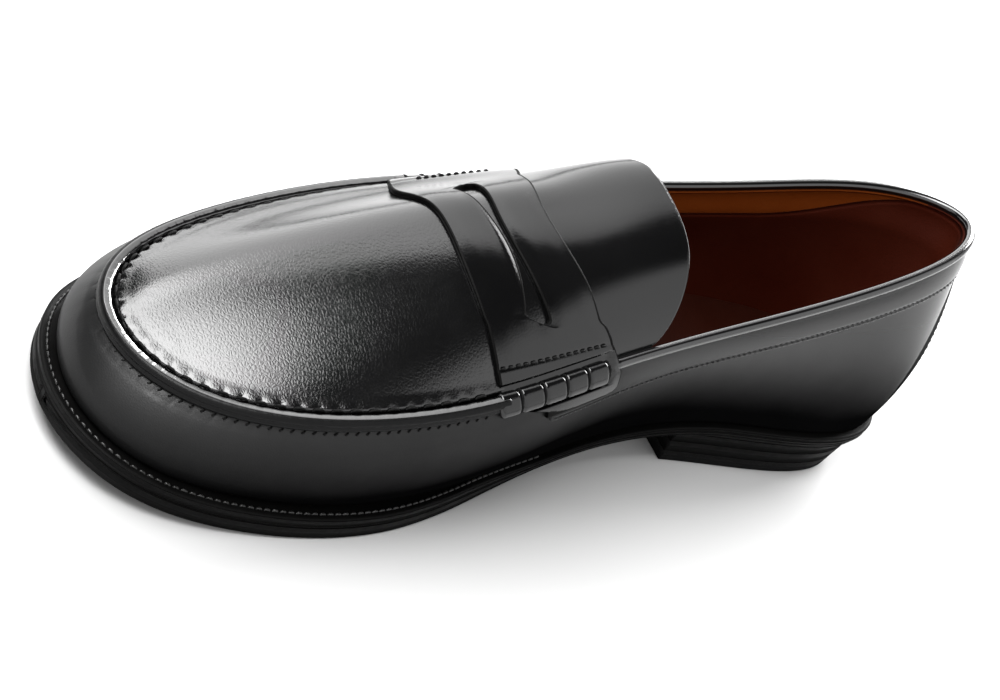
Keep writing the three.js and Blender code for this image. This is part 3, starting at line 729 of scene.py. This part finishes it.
# ------------------------------------------------------------------ upper
def side_wall():
    """The wall leather: gathered under the apron seam, curling in at the welt."""
    u = np.linspace(0, TURN, 1500, endpoint=False)[:, None]
    share = np.linspace(0, 1, 96)[None, :]
    tall = wall_height(u[:, 0])[:, None]
    v = 1 - (1 - share) ** 1.25
    v = v * (1 - 1.1 / tall)
    down = (1 - v) * tall
    k = np.minimum(np.abs(u - TOE), np.abs(u + TURN - TOE))
    seam = ease(SEAM_END + 0.1, SEAM_END - 0.1, k)
    gap = from_stitch(rail_run(np.where(u > TOE + 8, u - TURN, u)))
    tick = bell(gap, 0.5) * bell(down - 3.6, 1.1)
    gather = bell(gap, 1.3) * ease(3.2, 5.0, down) * ease(14, 5.5, down)
    puff = ease(4.4, 6.4, down) * ease(17, 7, down)
    height = seam * (0.06 * puff - 0.08 * tick - 0.03 * gather)
    height = height - 0.9 * ease(0.9, 0.0, v * tall)
    outer = raised(wall, u + 0 * v, v, height)
    inner = raised(wall, u + 0 * v, v, -WALL_LEATHER)
    obj = shell("wall_leather", outer, inner, "leather", loop=True)
    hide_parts("side_wall")


def apron():
    """The domed plug inside the seam, dimpled where each stitch pulls it down."""
    a = np.linspace(0, 1, 260)[:, None] ** 1.5
    b = np.linspace(-1, 1, 200)[None, :]
    k = mix(APRON_SPAN[0], APRON_SPAN[1], a) + 0 * b
    t = np.sin(b * np.pi / 2 * 0.985) + 0 * k
    flat = cover(k, t)
    distance, run = near_rail(flat)
    tuck = ease(3.4, 1.4, distance) * 1.1
    dimple = bell(from_stitch(run), 1.0) * bell(distance - 3.0, 1.4)
    roll_in = ease(7.0, 2.6, distance) * 0.35
    height = roll_in - tuck - 0.25 * dimple
    outer = raised(cover, k, t, height)
    inner = raised(cover, k, t, height - WALL_LEATHER)
    obj = shell("apron_plug", outer, inner, "apron_leather")
    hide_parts("apron")


def apron_ridge():
    """The raised seam: a glossy upper roll, a groove, and the flank that the wall is gathered into."""
    u = np.linspace(TOE - RIDGE_ENDS[0], TOE + RIDGE_ENDS[1], 1300)
    centre, out, down, along = rail_frame(u)
    sides = 36
    angle = np.linspace(-np.pi, np.pi, sides, endpoint=False)[None, :]
    run = rail_run(u)[:, None]
    gap = from_stitch(run[:, 0])[:, None]
    beat = bell(gap, 0.9)
    radius = RIDGE_RADIUS + 0.6 * bell(angle - 1.75, 0.55)
    radius = radius / np.cos(np.clip(angle + 0.85, -0.45, 0.45))
    radius = radius - 0.42 * bell(angle - 0.98, 0.16)
    radius = radius - 0.05 * beat * bell(angle + 1.5, 0.35)
    radius = radius * (1 + 0.006 * np.sin(run * 1.9) + 0.002 * np.sin(run * 4.7 + 1))
    lifted = centre + out * 1.0
    points = (lifted[:, None] + out[:, None] * (radius * np.cos(angle))[..., None]
              + down[:, None] * (radius * np.sin(angle))[..., None])
    faces = [grid_faces(len(u), sides, 0, False, True)]
    cap = fan(sides)
    faces += [cap, (len(u) - 1) * sides + cap[:, ::-1]]
    obj = make_object("ridge_leather", points.reshape(-1, 3), faces, "ridge_leather")
    flank = (angle[0] > FLANK_FROM) & (angle[0] < 2.9)
    dull = np.concatenate([np.tile(flank, len(u) - 1), np.zeros(2 * (sides - 2), bool)])
    obj.data.materials.append(MATERIALS["flank_leather"])
    obj.data.polygons.foreach_set("material_index", dull.astype(np.int32))
    fix_normals(obj)
    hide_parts("apron_ridge")

    centre, out, down, along = rail_frame(SEAM_U)
    inner_row = centre - down * 2.9 + out * 0.35
    stitches("seam_stitches_inner", inner_row, along, unit(out - down * 0.7), 3.5, 0.42)
    centre, out, down, along = rail_frame(
        spaced(top_line, TOE - SEAM_END, TOE + RIDGE_ENDS[1] - 0.1, STITCH_PITCH * 0.55))
    outer_row = centre + down * 3.0 - out * 0.1
    slant = along * 0.75 + down * 0.65
    stitches("seam_stitches_outer", outer_row, slant, unit(out + down), 1.7, 0.3)


STRAP_FOOT = 9.0        # how far the strap reaches down the wall past the top line
STRAP_BASE, STRAP_THICK = 0.1, 1.3
FOOT_TURN = 4.0         # depth at which the foot's front edge turns back under the roll
FOOT_MEET = 0.19        # where front and rear meet at the foot's lowest point, ahead of the rear


def strap_edges(t):
    """Front and rear edge of the strap at t; past 1 the foot that frames the roll closes."""
    down = np.clip(np.abs(t) - 1, 0, None) * FOLD_SCALE
    inside = np.clip(t, -1, 1)
    share = np.clip((down - FOOT_TURN) / (STRAP_FOOT - FOOT_TURN), 0, 1)
    front = parabola(STRAP_FRONT, inside) + 0.84 * np.clip(-inside - 0.5, 0, None) ** 2
    front = front + 0.07 * bell(inside + 0.25, 0.4)
    rear = parabola(STRAP_REAR, inside) + 0.03 * ease(0, 2.5, down)
    meet = rear - FOOT_MEET
    front = mix(front, meet, 0.59 * share**0.5 + 0.41 * share**8)
    rear = mix(rear, meet, share**6)
    return front, rear


def slot_shape(t):
    """Front and rear edge of the penny slot at t; they meet beyond its round ends."""
    front = parabola(SLOT_FRONT, t - SLOT_MIDDLE)
    rear = parabola(SLOT_REAR, t - SLOT_MIDDLE)
    near = np.minimum(t - SLOT_ENDS[0], SLOT_ENDS[1] - t)
    open_share = rounded(near, SLOT_ROUND)
    middle = (front + rear) / 2
    half = (rear - front) / 2 * open_share
    return middle - half, middle + half, near > 0


def slanted(k, t):
    """Places near the slot's two ends, turned so that the ends run askew."""
    for end, middle, slant in ((SLOT_ENDS[1], 3.46, 0.55), (SLOT_ENDS[0], 3.43, -0.35)):
        reach = 0.12 * np.tanh((k - middle) / 0.12)
        t = t + slant * reach * bell(t - end, 0.09)
    return t


def stitch_row_t(k, side):
    """The t of the strap's stitch row beside the roll."""
    return side * (0.838 + 0.05 * (k - 3.16))


def strap_height(k, t, edge, lip):
    """Height of the strap's face: rounded at the cut edges, grooved at its stitches and pressed in
    under the rolls."""
    rim = 0.2 * (1 - rounded(edge, 0.2))
    puff = 0.15 * ease(0, 5, edge)
    row_gap = (np.abs(t) - stitch_row_t(k, 1)) * FOLD_SCALE
    groove = 0.25 * bell(row_gap, 0.5)
    height = STRAP_BASE + STRAP_THICK + lip + puff - rim - groove
    for side, (first_k, last_k) in ROLL_SPAN.items():
        beside = np.abs((side * t - 1) * FOLD_SCALE - ROLL_DOWN)
        ends = np.maximum(first_k - k, k - last_k) * FOLD_SCALE
        bed = ease(ROLL_RADIUS + 0.9, ROLL_RADIUS + 0.3, beside) * ease(1.1, 0.5, ends)
        height = height - ROLL_BED * bed * (side * t > 0)
    return height


def strap():
    """The saddle: one sheet with a slot, folded over the top line at both ends."""
    reach = 1 + STRAP_FOOT / FOLD_SCALE * 0.998
    turn = 1 + FOOT_TURN / FOLD_SCALE
    t = np.unique(np.concatenate([
        np.linspace(-reach, reach, 460),
        np.linspace(turn, turn + 0.03, 20),
        np.linspace(-turn - 0.03, -turn, 20),
        np.linspace(SLOT_ENDS[0], SLOT_ENDS[0] + 0.06, 24),
        np.linspace(SLOT_ENDS[1] - 0.06, SLOT_ENDS[1], 24)]))
    front, rear = strap_edges(t)
    slot_front, slot_rear, open_here = slot_shape(t)
    rows = 24
    share = (1 - np.cos(np.linspace(0, np.pi, rows))) / 2
    tops, bottoms, rims = [], [], []
    for number, (first, last) in enumerate(((front, slot_front), (slot_rear, rear))):
        k = first[:, None] + (last - first)[:, None] * share[None]
        t2 = t[:, None] + 0 * k
        to_front = (k - front[:, None]) * FOLD_SCALE
        to_rear = (rear[:, None] - k) * FOLD_SCALE
        to_end = (reach - np.abs(t2)) * FOLD_SCALE
        edge = np.minimum(np.minimum(to_front, to_rear), to_end)
        across = np.clip(1 - ((t2 - SLOT_MIDDLE) / 0.5) ** 2, 0, 1)
        if number == 0:
            to_slot = (slot_front[:, None] - k) * FOLD_SCALE
            lip = across * bell(to_slot, 1.0) * 0.55
        else:
            to_slot = (k - slot_rear[:, None]) * FOLD_SCALE
            lip = across * bell(to_slot, 2.0) * -0.25
        beyond = np.clip(np.maximum(SLOT_ENDS[0] - t2, t2 - SLOT_ENDS[1]), 0, None) * FOLD_SCALE
        edge = np.minimum(edge, np.hypot(to_slot, beyond))
        height = strap_height(k, t2, edge, lip)
        t3 = slanted(k, t2)
        flat = folded(k, t3)
        normal = normal_of(folded, k, t3)
        tops.append(flat + normal * height[..., None])
        bottoms.append(flat + normal * (STRAP_BASE + lip * 0.9 - 0.3)[..., None])
        rims.append(edge)
    columns = len(t)
    count = columns * rows
    points = np.concatenate([grid.reshape(-1, 3) for grid in (*tops, *bottoms)])
    faces = [grid_faces(columns, rows, number * count) for number in range(2)]
    near_edge = np.concatenate([rim.ravel() for rim in rims])
    cut = [near_edge[block].min(-1) < 0.45 for block in faces]
    for number in range(2):
        faces.append(grid_faces(columns, rows, (2 + number) * count, flip=True))
        cut.append(np.zeros(len(faces[-1]), bool))
    order = np.arange(count).reshape(columns, rows)

    def side_faces(edge_top, edge_bottom, flip):
        quads = np.stack([edge_top[:-1], edge_top[1:], edge_bottom[1:], edge_bottom[:-1]], -1)
        return quads[:, ::-1] if flip else quads

    sides = [side_faces(order[:, 0], order[:, 0] + 2 * count, True),
             side_faces(order[:, -1] + count, order[:, -1] + 3 * count, False)]
    for number in range(2):
        start = number * count
        sides.append(side_faces(order[0] + start, order[0] + start + 2 * count, False))
        sides.append(side_faces(order[-1] + start, order[-1] + start + 2 * count, True))
    slot_quads = side_faces(order[:, -1], order[:, -1] + 2 * count, False)
    rear_quads = side_faces(order[:, 0] + count, order[:, 0] + 3 * count, True)
    inside = open_here[:-1] | open_here[1:]
    sides += [slot_quads[inside], rear_quads[inside]]
    cut += [np.ones(len(quads), bool) for quads in sides]
    obj = make_object("strap_leather", points, faces + sides, "strap_leather")
    obj.data.materials.append(MATERIALS["edge"])
    obj.data.polygons.foreach_set("material_index", np.concatenate(cut).astype(np.int32))
    weld(obj, 0.000004)
    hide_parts("saddle_strap")

    for side, name in SIDES:
        span = (ROLL_SPAN[side][0] + 0.03, ROLL_SPAN[side][1] - 0.04)
        sewn_row(f"strap_stitches_{name}", folded, lambda k, side=side: (k, stitch_row_t(k, side)),
                 span, 2.45, STRAP_BASE + STRAP_THICK - 0.15, (1.9, 0.42), lift=0.1)


def weld(obj, distance):
    work = bmesh.new()
    work.from_mesh(obj.data)
    bmesh.ops.remove_doubles(work, verts=work.verts, dist=distance)
    bmesh.ops.dissolve_degenerate(work, edges=work.edges, dist=distance / 4)
    bmesh.ops.recalc_face_normals(work, faces=work.faces)
    work.to_mesh(obj.data)
    work.free()
    for polygon in obj.data.polygons:
        polygon.use_smooth = True


def squarish(angle, power=2.4):
    """How far a flat-topped section reaches at an angle, against 1 for a circle."""
    return (np.abs(np.cos(angle)) ** power + np.abs(np.sin(angle)) ** power) ** (-1 / power)


def beef_roll(side, name):
    """A stuffed roll over the strap's end, pinched by five turns of lacing."""
    first_k, last_k = ROLL_SPAN[side]
    share = np.linspace(0, 1, 260)
    k = mix(first_k, last_k, share)
    centre, out, down, along = rail_frame(TOE - side * k)
    path = centre + down * ROLL_DOWN + out * ROLL_OUT
    length = np.linalg.norm(np.diff(path, axis=0), axis=1).sum()
    pinches = (np.arange(LASHINGS) + 1) / LASHINGS - 0.02
    gap = np.abs(share[:, None] - pinches[None]).min(1) * length
    pinch = bell(gap, 0.65)
    ends = rounded(np.minimum(share, 1 - share) * length, ROLL_END_ROUND, 0.02)
    radius = (ROLL_RADIUS - 0.6 * pinch) * ends
    around_roll = np.linspace(0, 2 * np.pi, 44, endpoint=False)
    pad = squarish(around_roll)
    obj = tube(f"roll_{name}", path, radius[:, None] * pad[None], "strap_leather", out, sides=44,
               squash=ROLL_SQUASH)
    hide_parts(f"beef_roll_{name}")

    angle = np.radians(np.linspace(-118, 112, 40))
    pad = squarish(angle)
    for number, place in enumerate(pinches):
        at = int(round(place * (len(share) - 1)))
        ring = (radius[at] + (0.1 if side > 0 else 0.5)) * pad
        arc = (path[at] + out[at] * (ring * np.cos(angle) * ROLL_SQUASH)[:, None]
               + down[at] * (ring * np.sin(angle))[:, None])
        arc = arc + along[at] * (0.5 * np.sin(angle))[:, None]
        thick = 0.4 + 0.22 * bell(angle + 1.75, 0.2)
        obj = tube(f"lashing_{name}_{number + 1}", arc, thick, "thread", unit(arc - path[at]), sides=10)
        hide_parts(f"roll_lashing_{name}_{number + 1}")


def tongue_end(t):
    round_off = (1 - np.abs(t) ** TONGUE_CORNER) ** (1 / TONGUE_CORNER)
    return mix(parabola(STRAP_REAR, t), TONGUE_END - 0.03 + 0.05 * t, round_off)


def tongue_surface(k, t):
    point = cover(k, t)
    edge = np.abs(t) ** 12
    point[..., 1] -= np.sign(t) * 0.8 * edge
    point[..., 2] += 2.0 * ease(4.0, 4.76, k) * ease(0.4, -0.4, t) - 0.6 * edge
    return point


def tongue():
    """The flap behind the strap with its lining; both start under the strap."""
    b = np.linspace(-1, 1, 150)[None, :]
    a = np.linspace(0, 1, 90)[:, None]
    layers = (
        ("tongue_leather", "tongue", "strap_leather", 0.985, 0.0, 1.4),
        ("tongue_lining_leather", "tongue_lining", "lining", 0.965, -1.45, 0.8),
    )
    for name, node, material, width, top, thick in layers:
        t = width * np.sin(b * np.pi / 2) + 0 * a
        last = tongue_end(t) - (0.03 if material == "lining" else 0)
        k = mix(3.45 + 0.3 * t * t, last, a ** 0.8)
        edge = np.minimum((last - k) * 40, (1 - np.abs(b) + 0 * k) * 40)
        rim = 0.2 * (1 - rounded(edge, 0.2))
        outer = raised(tongue_surface, k, t, top - rim)
        inner = raised(tongue_surface, k, t, top - thick + rim * 0.6)
        obj = shell(name, outer, inner, material, body=None)
        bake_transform(obj)
        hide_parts(node)


COLLAR_FRONT = 3.56
COLLAR_WIDTH = 12.2
COLLAR_TOP, COLLAR_TOP_FRONT = 1.3, 6.2  # how far below the top line it starts, and more in front


def collar():
    """The collar band: a soft overlay down to a double-stitched edge, with the binding above."""
    u = np.linspace(TOE + COLLAR_FRONT, TURN + TOE - COLLAR_FRONT, 900)[:, None]
    b = np.linspace(0, 1, 40)[None, :]
    tall = wall_height(u[:, 0])[:, None]
    from_end = np.minimum(u - u[0], u[-1] - u) * 40
    hook = rounded(from_end, 2.5)
    high = COLLAR_TOP + COLLAR_TOP_FRONT * ease(26, 14, from_end)
    low_edge = mix(high + 1.2, COLLAR_WIDTH, hook)
    down = mix(low_edge, high, b)
    v = 1 - down / tall
    edge = np.minimum(low_edge - down, from_end)
    body = 0.62 * rounded(edge, 0.6)
    puff = 0.5 * np.sin(np.clip((down - high) / (low_edge - high), 0, 1) * np.pi) ** 0.8
    groove = 0.3 * bell(low_edge - down - 1.7, 0.5)
    outer = raised(wall, u + 0 * v, v, body + puff * ease(0, 3, low_edge - down) - groove - 0.12)
    inner = raised(wall, u + 0 * v, v, -0.5)
    obj = shell("collar_leather", outer, inner, "leather")
    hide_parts("collar_band")
    ends = (TOE + COLLAR_FRONT + 0.05, TURN + TOE - COLLAR_FRONT - 0.05)
    for number, offset in ((1, 1.0), (2, 2.5)):
        def place(u, offset=offset):
            return u, 1 - (COLLAR_WIDTH - offset) / wall_height(u)

        sewn_row(f"collar_stitches_{number}", wall, place, ends, 1.9, 0.45, (1.25, 0.2),
                 material="tonal_thread")

    u = np.linspace(TOE + 4.1, TURN + TOE - 4.1, 700)
    path, out = rail_binding(u)
    obj = tube("binding_leather", path, round_ends(len(u), 300, 1.6) * (1 + 0.004 * np.sin(u * 7)),
               "binding_leather", out, sides=24, squash=1.05)
    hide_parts("topline_binding")


def rail_binding(u):
    """The binding's path, and the direction most nearly upright across it."""
    along = unit(top_line(u + 0.01) - top_line(u - 0.01))
    out = np.array([0, 0, 1.0]) - along * along[..., 2:3]
    return top_line(u), unit(out)


STAY_THICK = 1.2


def backstay():
    """The strip over the back seam, with a thick cut edge and a stitch row inside it."""
    def half_width(v):
        return mix(0.95, 0.5, ease(0.35, 0.95, v))

    v = np.linspace(0.01, 0.9, 120)[:, None]
    b = np.linspace(-1, 1, 80)[None, :]
    u = half_width(v) * b + 0 * v
    edge = (1 - np.abs(b)) * half_width(v) * 26
    outer = raised(wall, u, v + 0 * b, STAY_THICK * rounded(edge, 0.8))
    inner = raised(wall, u, v + 0 * b, -0.6)
    obj = shell("backstay_leather", outer, inner, "leather")
    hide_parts("backstay")
    for side, name in SIDES:
        def place(v, side=side):
            return side * (half_width(v) - 0.09), v

        sewn_row(f"backstay_stitches_{name}", wall, place, (0.06, 0.8), 2.2, STAY_THICK - 0.05,
                 (1.4, 0.25))


# ------------------------------------------------------------------ inside
def lining_depth(v):
    return mix(1.3, 3.3, ease(0.97, 0.78, v))


def wall_lining(name, node, first, last, extra=0.0, material="lining", top=None):
    """A lining sheet behind the wall from one u to another; top gives its upper edge as a v at u."""
    u = np.linspace(first, last, 320)[:, None]
    tall = wall_height(u[:, 0])[:, None]
    reach = 1 - 0.6 / tall
    v = np.linspace(0.0, 1, 60)[None, :] * (reach if top is None else np.minimum(top(u), reach))
    near_top = 0 if top is None else ease(1.0, 0.0, (v[:, -1:] - v) * tall) * extra * 0.8
    depth = lining_depth(v) + 0 * u + extra - near_top
    outer = raised(wall, u + 0 * v, v, -depth + 0.2)
    inner = raised(wall, u + 0 * v, v, -depth - 0.7)
    obj = shell(name, outer, inner, material)
    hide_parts(node)


def grip_top(u):
    """The heel grip's upper edge: below the quarters in front, and up to the collar at the back."""
    front = ease(12.9, 14.2, u) * ease(TURN + 4.6, TURN + 3.3, u)
    lateral = ease(15.1, 16.6, u)
    medial = ease(TURN + 1.8, TURN + 1.0, u)
    return 0.70 + 0.1 * front + 0.2 * np.minimum(lateral, medial)


def linings():
    wall_lining("quarter_lining_medial_leather", "quarter_lining_medial", 0.9, 5.03)
    wall_lining("quarter_lining_lateral_leather", "quarter_lining_lateral", 12.87, 16.6)
    # The heel grip wears the darker copy of the lining: painted shade.
    wall_lining("heel_grip_leather", "heel_grip_lining", 12.9, TURN + 4.6, 0.7, "grip", grip_top)
    wall_lining("vamp_lining_textile", "vamp_lining", 5.08, 12.82, material="textile")
    k = mix(0.3, 3.7, np.linspace(0, 1, 120))[:, None]
    t = np.sin(np.linspace(-1, 1, 90) * np.pi / 2)[None, :] * 0.93
    sheet = [raised(cover, k + 0 * t, t + 0 * k, 0 * k * t - depth) for depth in (2.15, 2.8)]
    obj = shell("apron_lining_textile", *sheet, "textile")
    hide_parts("apron_lining")


# ------------------------------------------------------------------ bottom
def welt_strip():
    """The welt: a ring that follows the sole's edge, with its rim rounded."""
    u = np.linspace(0, TURN, 900, endpoint=False)[:, None]
    b = np.linspace(0, 1, 14)[None, :]
    inner = feather_inset(around(SOLE_OUTLINE, u[:, 0])[:, 0][:, None]) + WELT_INNER
    inset = mix(0.0, inner, b**1.6)
    plan = around(SOLE_OUTLINE, u + 0 * b) - edge_normal(u + 0 * b) * inset[..., None]
    x = plan[..., 0]
    low, high = outsole_top(x) + 0.12, feather_z(x) - 0.1
    drop = np.minimum(0.7, (high - low) * 0.45) * (1 - rounded(inset, 0.7))
    top = np.concatenate([plan, (high - drop)[..., None]], -1)
    bottom = np.concatenate([plan, (low + drop * 0.6)[..., None]], -1)
    obj = shell("welt_strip", top, bottom, "edge", loop=True)
    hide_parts("welt")


def plan_edges(inset):
    """The sole's outline drawn in: its rearmost and foremost x, and its lateral and medial side."""
    u = np.linspace(0, TURN, 3400, endpoint=False)
    points = edge_point(u, inset)
    back, front = points[:, 0].argmin(), points[:, 0].argmax()
    count = len(points)
    medial = points[np.arange(back, front + 1 if front > back else front + count + 1) % count]
    lateral = points[np.arange(back, front - 1 if front < back else front - count - 1, -1) % count]
    sides = [side[np.argsort(side[:, 0], kind="stable")] for side in (lateral, medial)]
    return points[back, 0], points[front, 0], sides


def plate(name, node, inset, low, high, material, front=None, low_inset=None, low_front=None,
          rows=240, columns=40, rim=0.6):
    """A solid layer of the bottom, its rows crowding at round ends and its rim rounded."""
    def face(edges, end):
        back, tip, (lateral, medial) = edges
        a = np.linspace(0, 1, rows)
        share = (1 - np.cos(np.pi * a)) / 2 if end is None else 1 - np.cos(np.pi * a / 2)
        x = mix(back + 0.02, (tip - 0.02) if end is None else end, share)
        y0 = np.interp(x, lateral[:, 0], lateral[:, 1])
        y1 = np.interp(x, medial[:, 0], medial[:, 1])
        b = (1 - np.cos(np.linspace(0, np.pi, columns))) / 2
        y = y0[:, None] + (y1 - y0)[:, None] * b[None]
        return np.repeat(x[:, None], columns, 1), y, np.minimum(y - y0[:, None], y1[:, None] - y)

    low_inset = inset if low_inset is None else low_inset
    low_front = front if low_front is None else low_front
    xt, yt, gap_t = face(plan_edges(inset), front)
    xb, yb, gap_b = face(plan_edges(low_inset), low_front)

    def drop(x, gap, end):
        near = gap if end is None else np.minimum(gap, end - x)
        return rim * (1 - rounded(near, rim))

    top = np.stack([xt, yt, high(xt) - drop(xt, gap_t, front)], -1)
    bottom = np.stack([xb, yb, low(xb) + 0.6 * drop(xb, gap_b, low_front)], -1)
    obj = shell(name, top, bottom, material)
    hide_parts(node)


def sole():
    """Outsole, welt with its stitching, and the sock inside."""
    plate("outsole_layer", "outsole", 0.15, sole_z, outsole_top, "edge", rim=0.5)
    welt_strip()

    def line(u):
        plan = edge_point(u, 2.0)
        return np.concatenate([plan, (feather_z(plan[..., :1]) - 0.12)], -1)

    def up(u):
        return np.tile([0, 0, 1.0], (len(u), 1))

    row = row_on(line, up, 4.6, 13.4, 2.5, 0.0)
    stitches("welt_stitches", *row, 2.0, 0.42, "welt_thread", sink=0.25)

    def insole_inset(x):
        return feather_inset(x) + 4.4

    # The sock wears the darkest copy of the lining: painted shade.
    plate("sock_leather", "sock_lining", insole_inset, lambda x: feather_z(x) + 2.6,
          lambda x: feather_z(x) + 3.7, "sock", rim=0.4)


def heel():
    """Stacked lifts over a rubber top piece; each layer has its own soft edge."""
    layers = (("heel_top_layer", "heel_top_piece", 0.0, 5.1, "rubber"),
              ("heel_lift_lower", "heel_lift_2", 5.13, 10.3, "heel_edge"),
              ("heel_lift_upper", "heel_lift_1", 10.33, 15.3, "heel_edge"))

    def inset_at(z):
        return mix(4.5, 1.8, z / HEEL_SEAT)

    def front_at(z):
        return mix(-68, -64, z / HEEL_SEAT)

    for name, node, low, high, material in layers:
        plate(name, node, inset_at(high), lambda x, z=low: 0 * x + z, lambda x, z=high: 0 * x + z,
              material, front=front_at(high), low_inset=inset_at(low), low_front=front_at(low),
              rows=120, rim=0.12)
    plate("rand_strip", "heel_rand", 1.0, lambda x: 0 * x + 15.42,
          lambda x: np.minimum(17.3, sole_z(x) - 0.1), "edge", front=-62, rows=120, rim=0.5)


def floor():
    size = 6.0
    mesh = bpy.data.meshes.new("floor")
    corners = [(-size, -size, 0), (size, -size, 0), (size, size, 0), (-size, size, 0)]
    mesh.from_pydata(corners, [], [(0, 1, 2, 3)])
    obj = bpy.data.objects.new("floor", mesh)
    obj.location.z = -0.0002
    bpy.context.scene.collection.objects.link(obj)
    obj.data.materials.append(MATERIALS["floor"])


# ------------------------------------------------------------------ camera and light
CAMERA_PLACE = np.array([485.2439, 437.7156, 505.3486])
CAMERA_YAW, CAMERA_PITCH, CAMERA_ROLL = -2.4125, 0.6322, 0.5988
FOCAL = 2.7915  # focal length, counted in widths of the image


def camera():
    data = bpy.data.cameras.new("camera")
    data.sensor_width = 36
    data.lens = FOCAL * data.sensor_width
    data.clip_start = 0.01
    obj = bpy.data.objects.new("camera", data)
    bpy.context.scene.collection.objects.link(obj)
    ahead = np.array([math.cos(CAMERA_PITCH) * math.cos(CAMERA_YAW),
                      math.cos(CAMERA_PITCH) * math.sin(CAMERA_YAW), -math.sin(CAMERA_PITCH)])
    right = np.array([math.sin(CAMERA_YAW), -math.cos(CAMERA_YAW), 0])
    up = np.cross(right, ahead)
    right2 = math.cos(CAMERA_ROLL) * right + math.sin(CAMERA_ROLL) * up
    up2 = -math.sin(CAMERA_ROLL) * right + math.cos(CAMERA_ROLL) * up
    matrix = Matrix.Identity(4)
    for axis, vector in enumerate((right2, up2, -ahead)):
        for i in range(3):
            matrix[i][axis] = vector[i]
    place = metres(CAMERA_PLACE)
    for i in range(3):
        matrix[i][3] = place[i]
    obj.matrix_world = matrix
    bpy.context.scene.camera = obj


def soft_box(name, centre, aim, turn, size, radiance, dim_end=1.0, dim_reach=0.75, soft_side=0.0):
    """A soft box facing a point; turn is the azimuth of its long side in degrees. Its light fades
    to dim_end over dim_reach of the long side from its start, and out over soft_side of its width."""
    data = bpy.data.lights.new(name, "AREA")
    data.shape = "RECTANGLE"
    data.size, data.size_y = size
    data.energy = radiance * math.pi * size[0] * size[1]
    obj = bpy.data.objects.new(name, data)
    bpy.context.scene.collection.objects.link(obj)
    back = (Vector(centre) - Vector(aim)).normalized()
    long_side = Vector((math.cos(math.radians(turn)), math.sin(math.radians(turn)), 0))
    long_side = (long_side - back * long_side.dot(back)).normalized()
    rows = (long_side, back.cross(long_side), back)
    obj.matrix_world = Matrix.Translation(centre) @ Matrix(rows).transposed().to_4x4()
    if dim_end == 1.0 and not soft_side:
        return
    tree = Tree(data)
    place = tree.axes(tree.add("ShaderNodeNewGeometry").outputs["Parametric"])
    along = tree.ramp(place[0], 0.0, dim_reach, dim_end, smooth=True)
    across = tree.ramp(place[1], 1.0, 1 - max(soft_side, 0.001), smooth=True)
    tree.link(tree.math("MULTIPLY", along, across), tree.tree.nodes["Emission"].inputs["Strength"])


# Pale walls round the set, as the leather sees them: the azimuth they stand at, counted from the
# toe towards the medial side, how high they reach in degrees, how far round, and their brightness.
CARDS = (
    (78, 57, 47, 0.0, 0.22, 1.3),
    (-160, 45, 20, 0.45, 0.8, 0.7),
)
AMBIENT = 0.035


def studio_world():
    """A dim room with the two pale walls."""
    world = bpy.data.worlds.new("studio")
    bpy.context.scene.world = world
    tree = Tree(world)
    background = tree.tree.nodes["Background"]
    background.inputs["Color"].default_value = (1, 1, 1, 1)
    direction = tree.add("ShaderNodeTexCoord").outputs["Generated"]
    height = tree.axes(direction)["Z"]
    total = AMBIENT
    for azimuth, top, solid_top, none, full, brightness in CARDS:
        dot = tree.add("ShaderNodeVectorMath", operation="DOT_PRODUCT")
        turn = math.radians(azimuth)
        dot.inputs[1].default_value = (math.cos(turn), math.sin(turn), 0)
        tree.link(direction, dot.inputs[0])
        rise = tree.ramp(height, math.sin(math.radians(top)), math.sin(math.radians(solid_top)),
                         smooth=True)
        card = tree.math("MULTIPLY", tree.ramp(dot.outputs["Value"], none, full, smooth=True), rise)
        total = tree.math("ADD", tree.math("MULTIPLY", card, brightness), total)
    tree.link(total, background.inputs["Strength"])


def lights():
    soft_box("key_box", (0.59, -0.415, 1.2), (0.59, -0.415, 0), 90, (1.87, 0.84), 14.5,
             dim_end=0.6, soft_side=0.3)
    soft_box("side_box", (-0.62, -1.28, 1.05), (0, 0, 0.05), -30, (2.1, 2.1), 4.0,
             dim_end=0.15, dim_reach=1.0)
    soft_box("rear_box", (-1.68, -0.89, 1.15), (0, 0, 0.05), -62, (1.6, 0.9), 26)
    studio_world()
    bpy.context.scene.view_settings.view_transform = "Standard"


camera()
lights()
floor()
side_wall()
apron()
apron_ridge()
strap()
for roll_side, roll_name in SIDES:
    beef_roll(roll_side, roll_name)
tongue()
collar()
backstay()
linings()
sole()
heel()
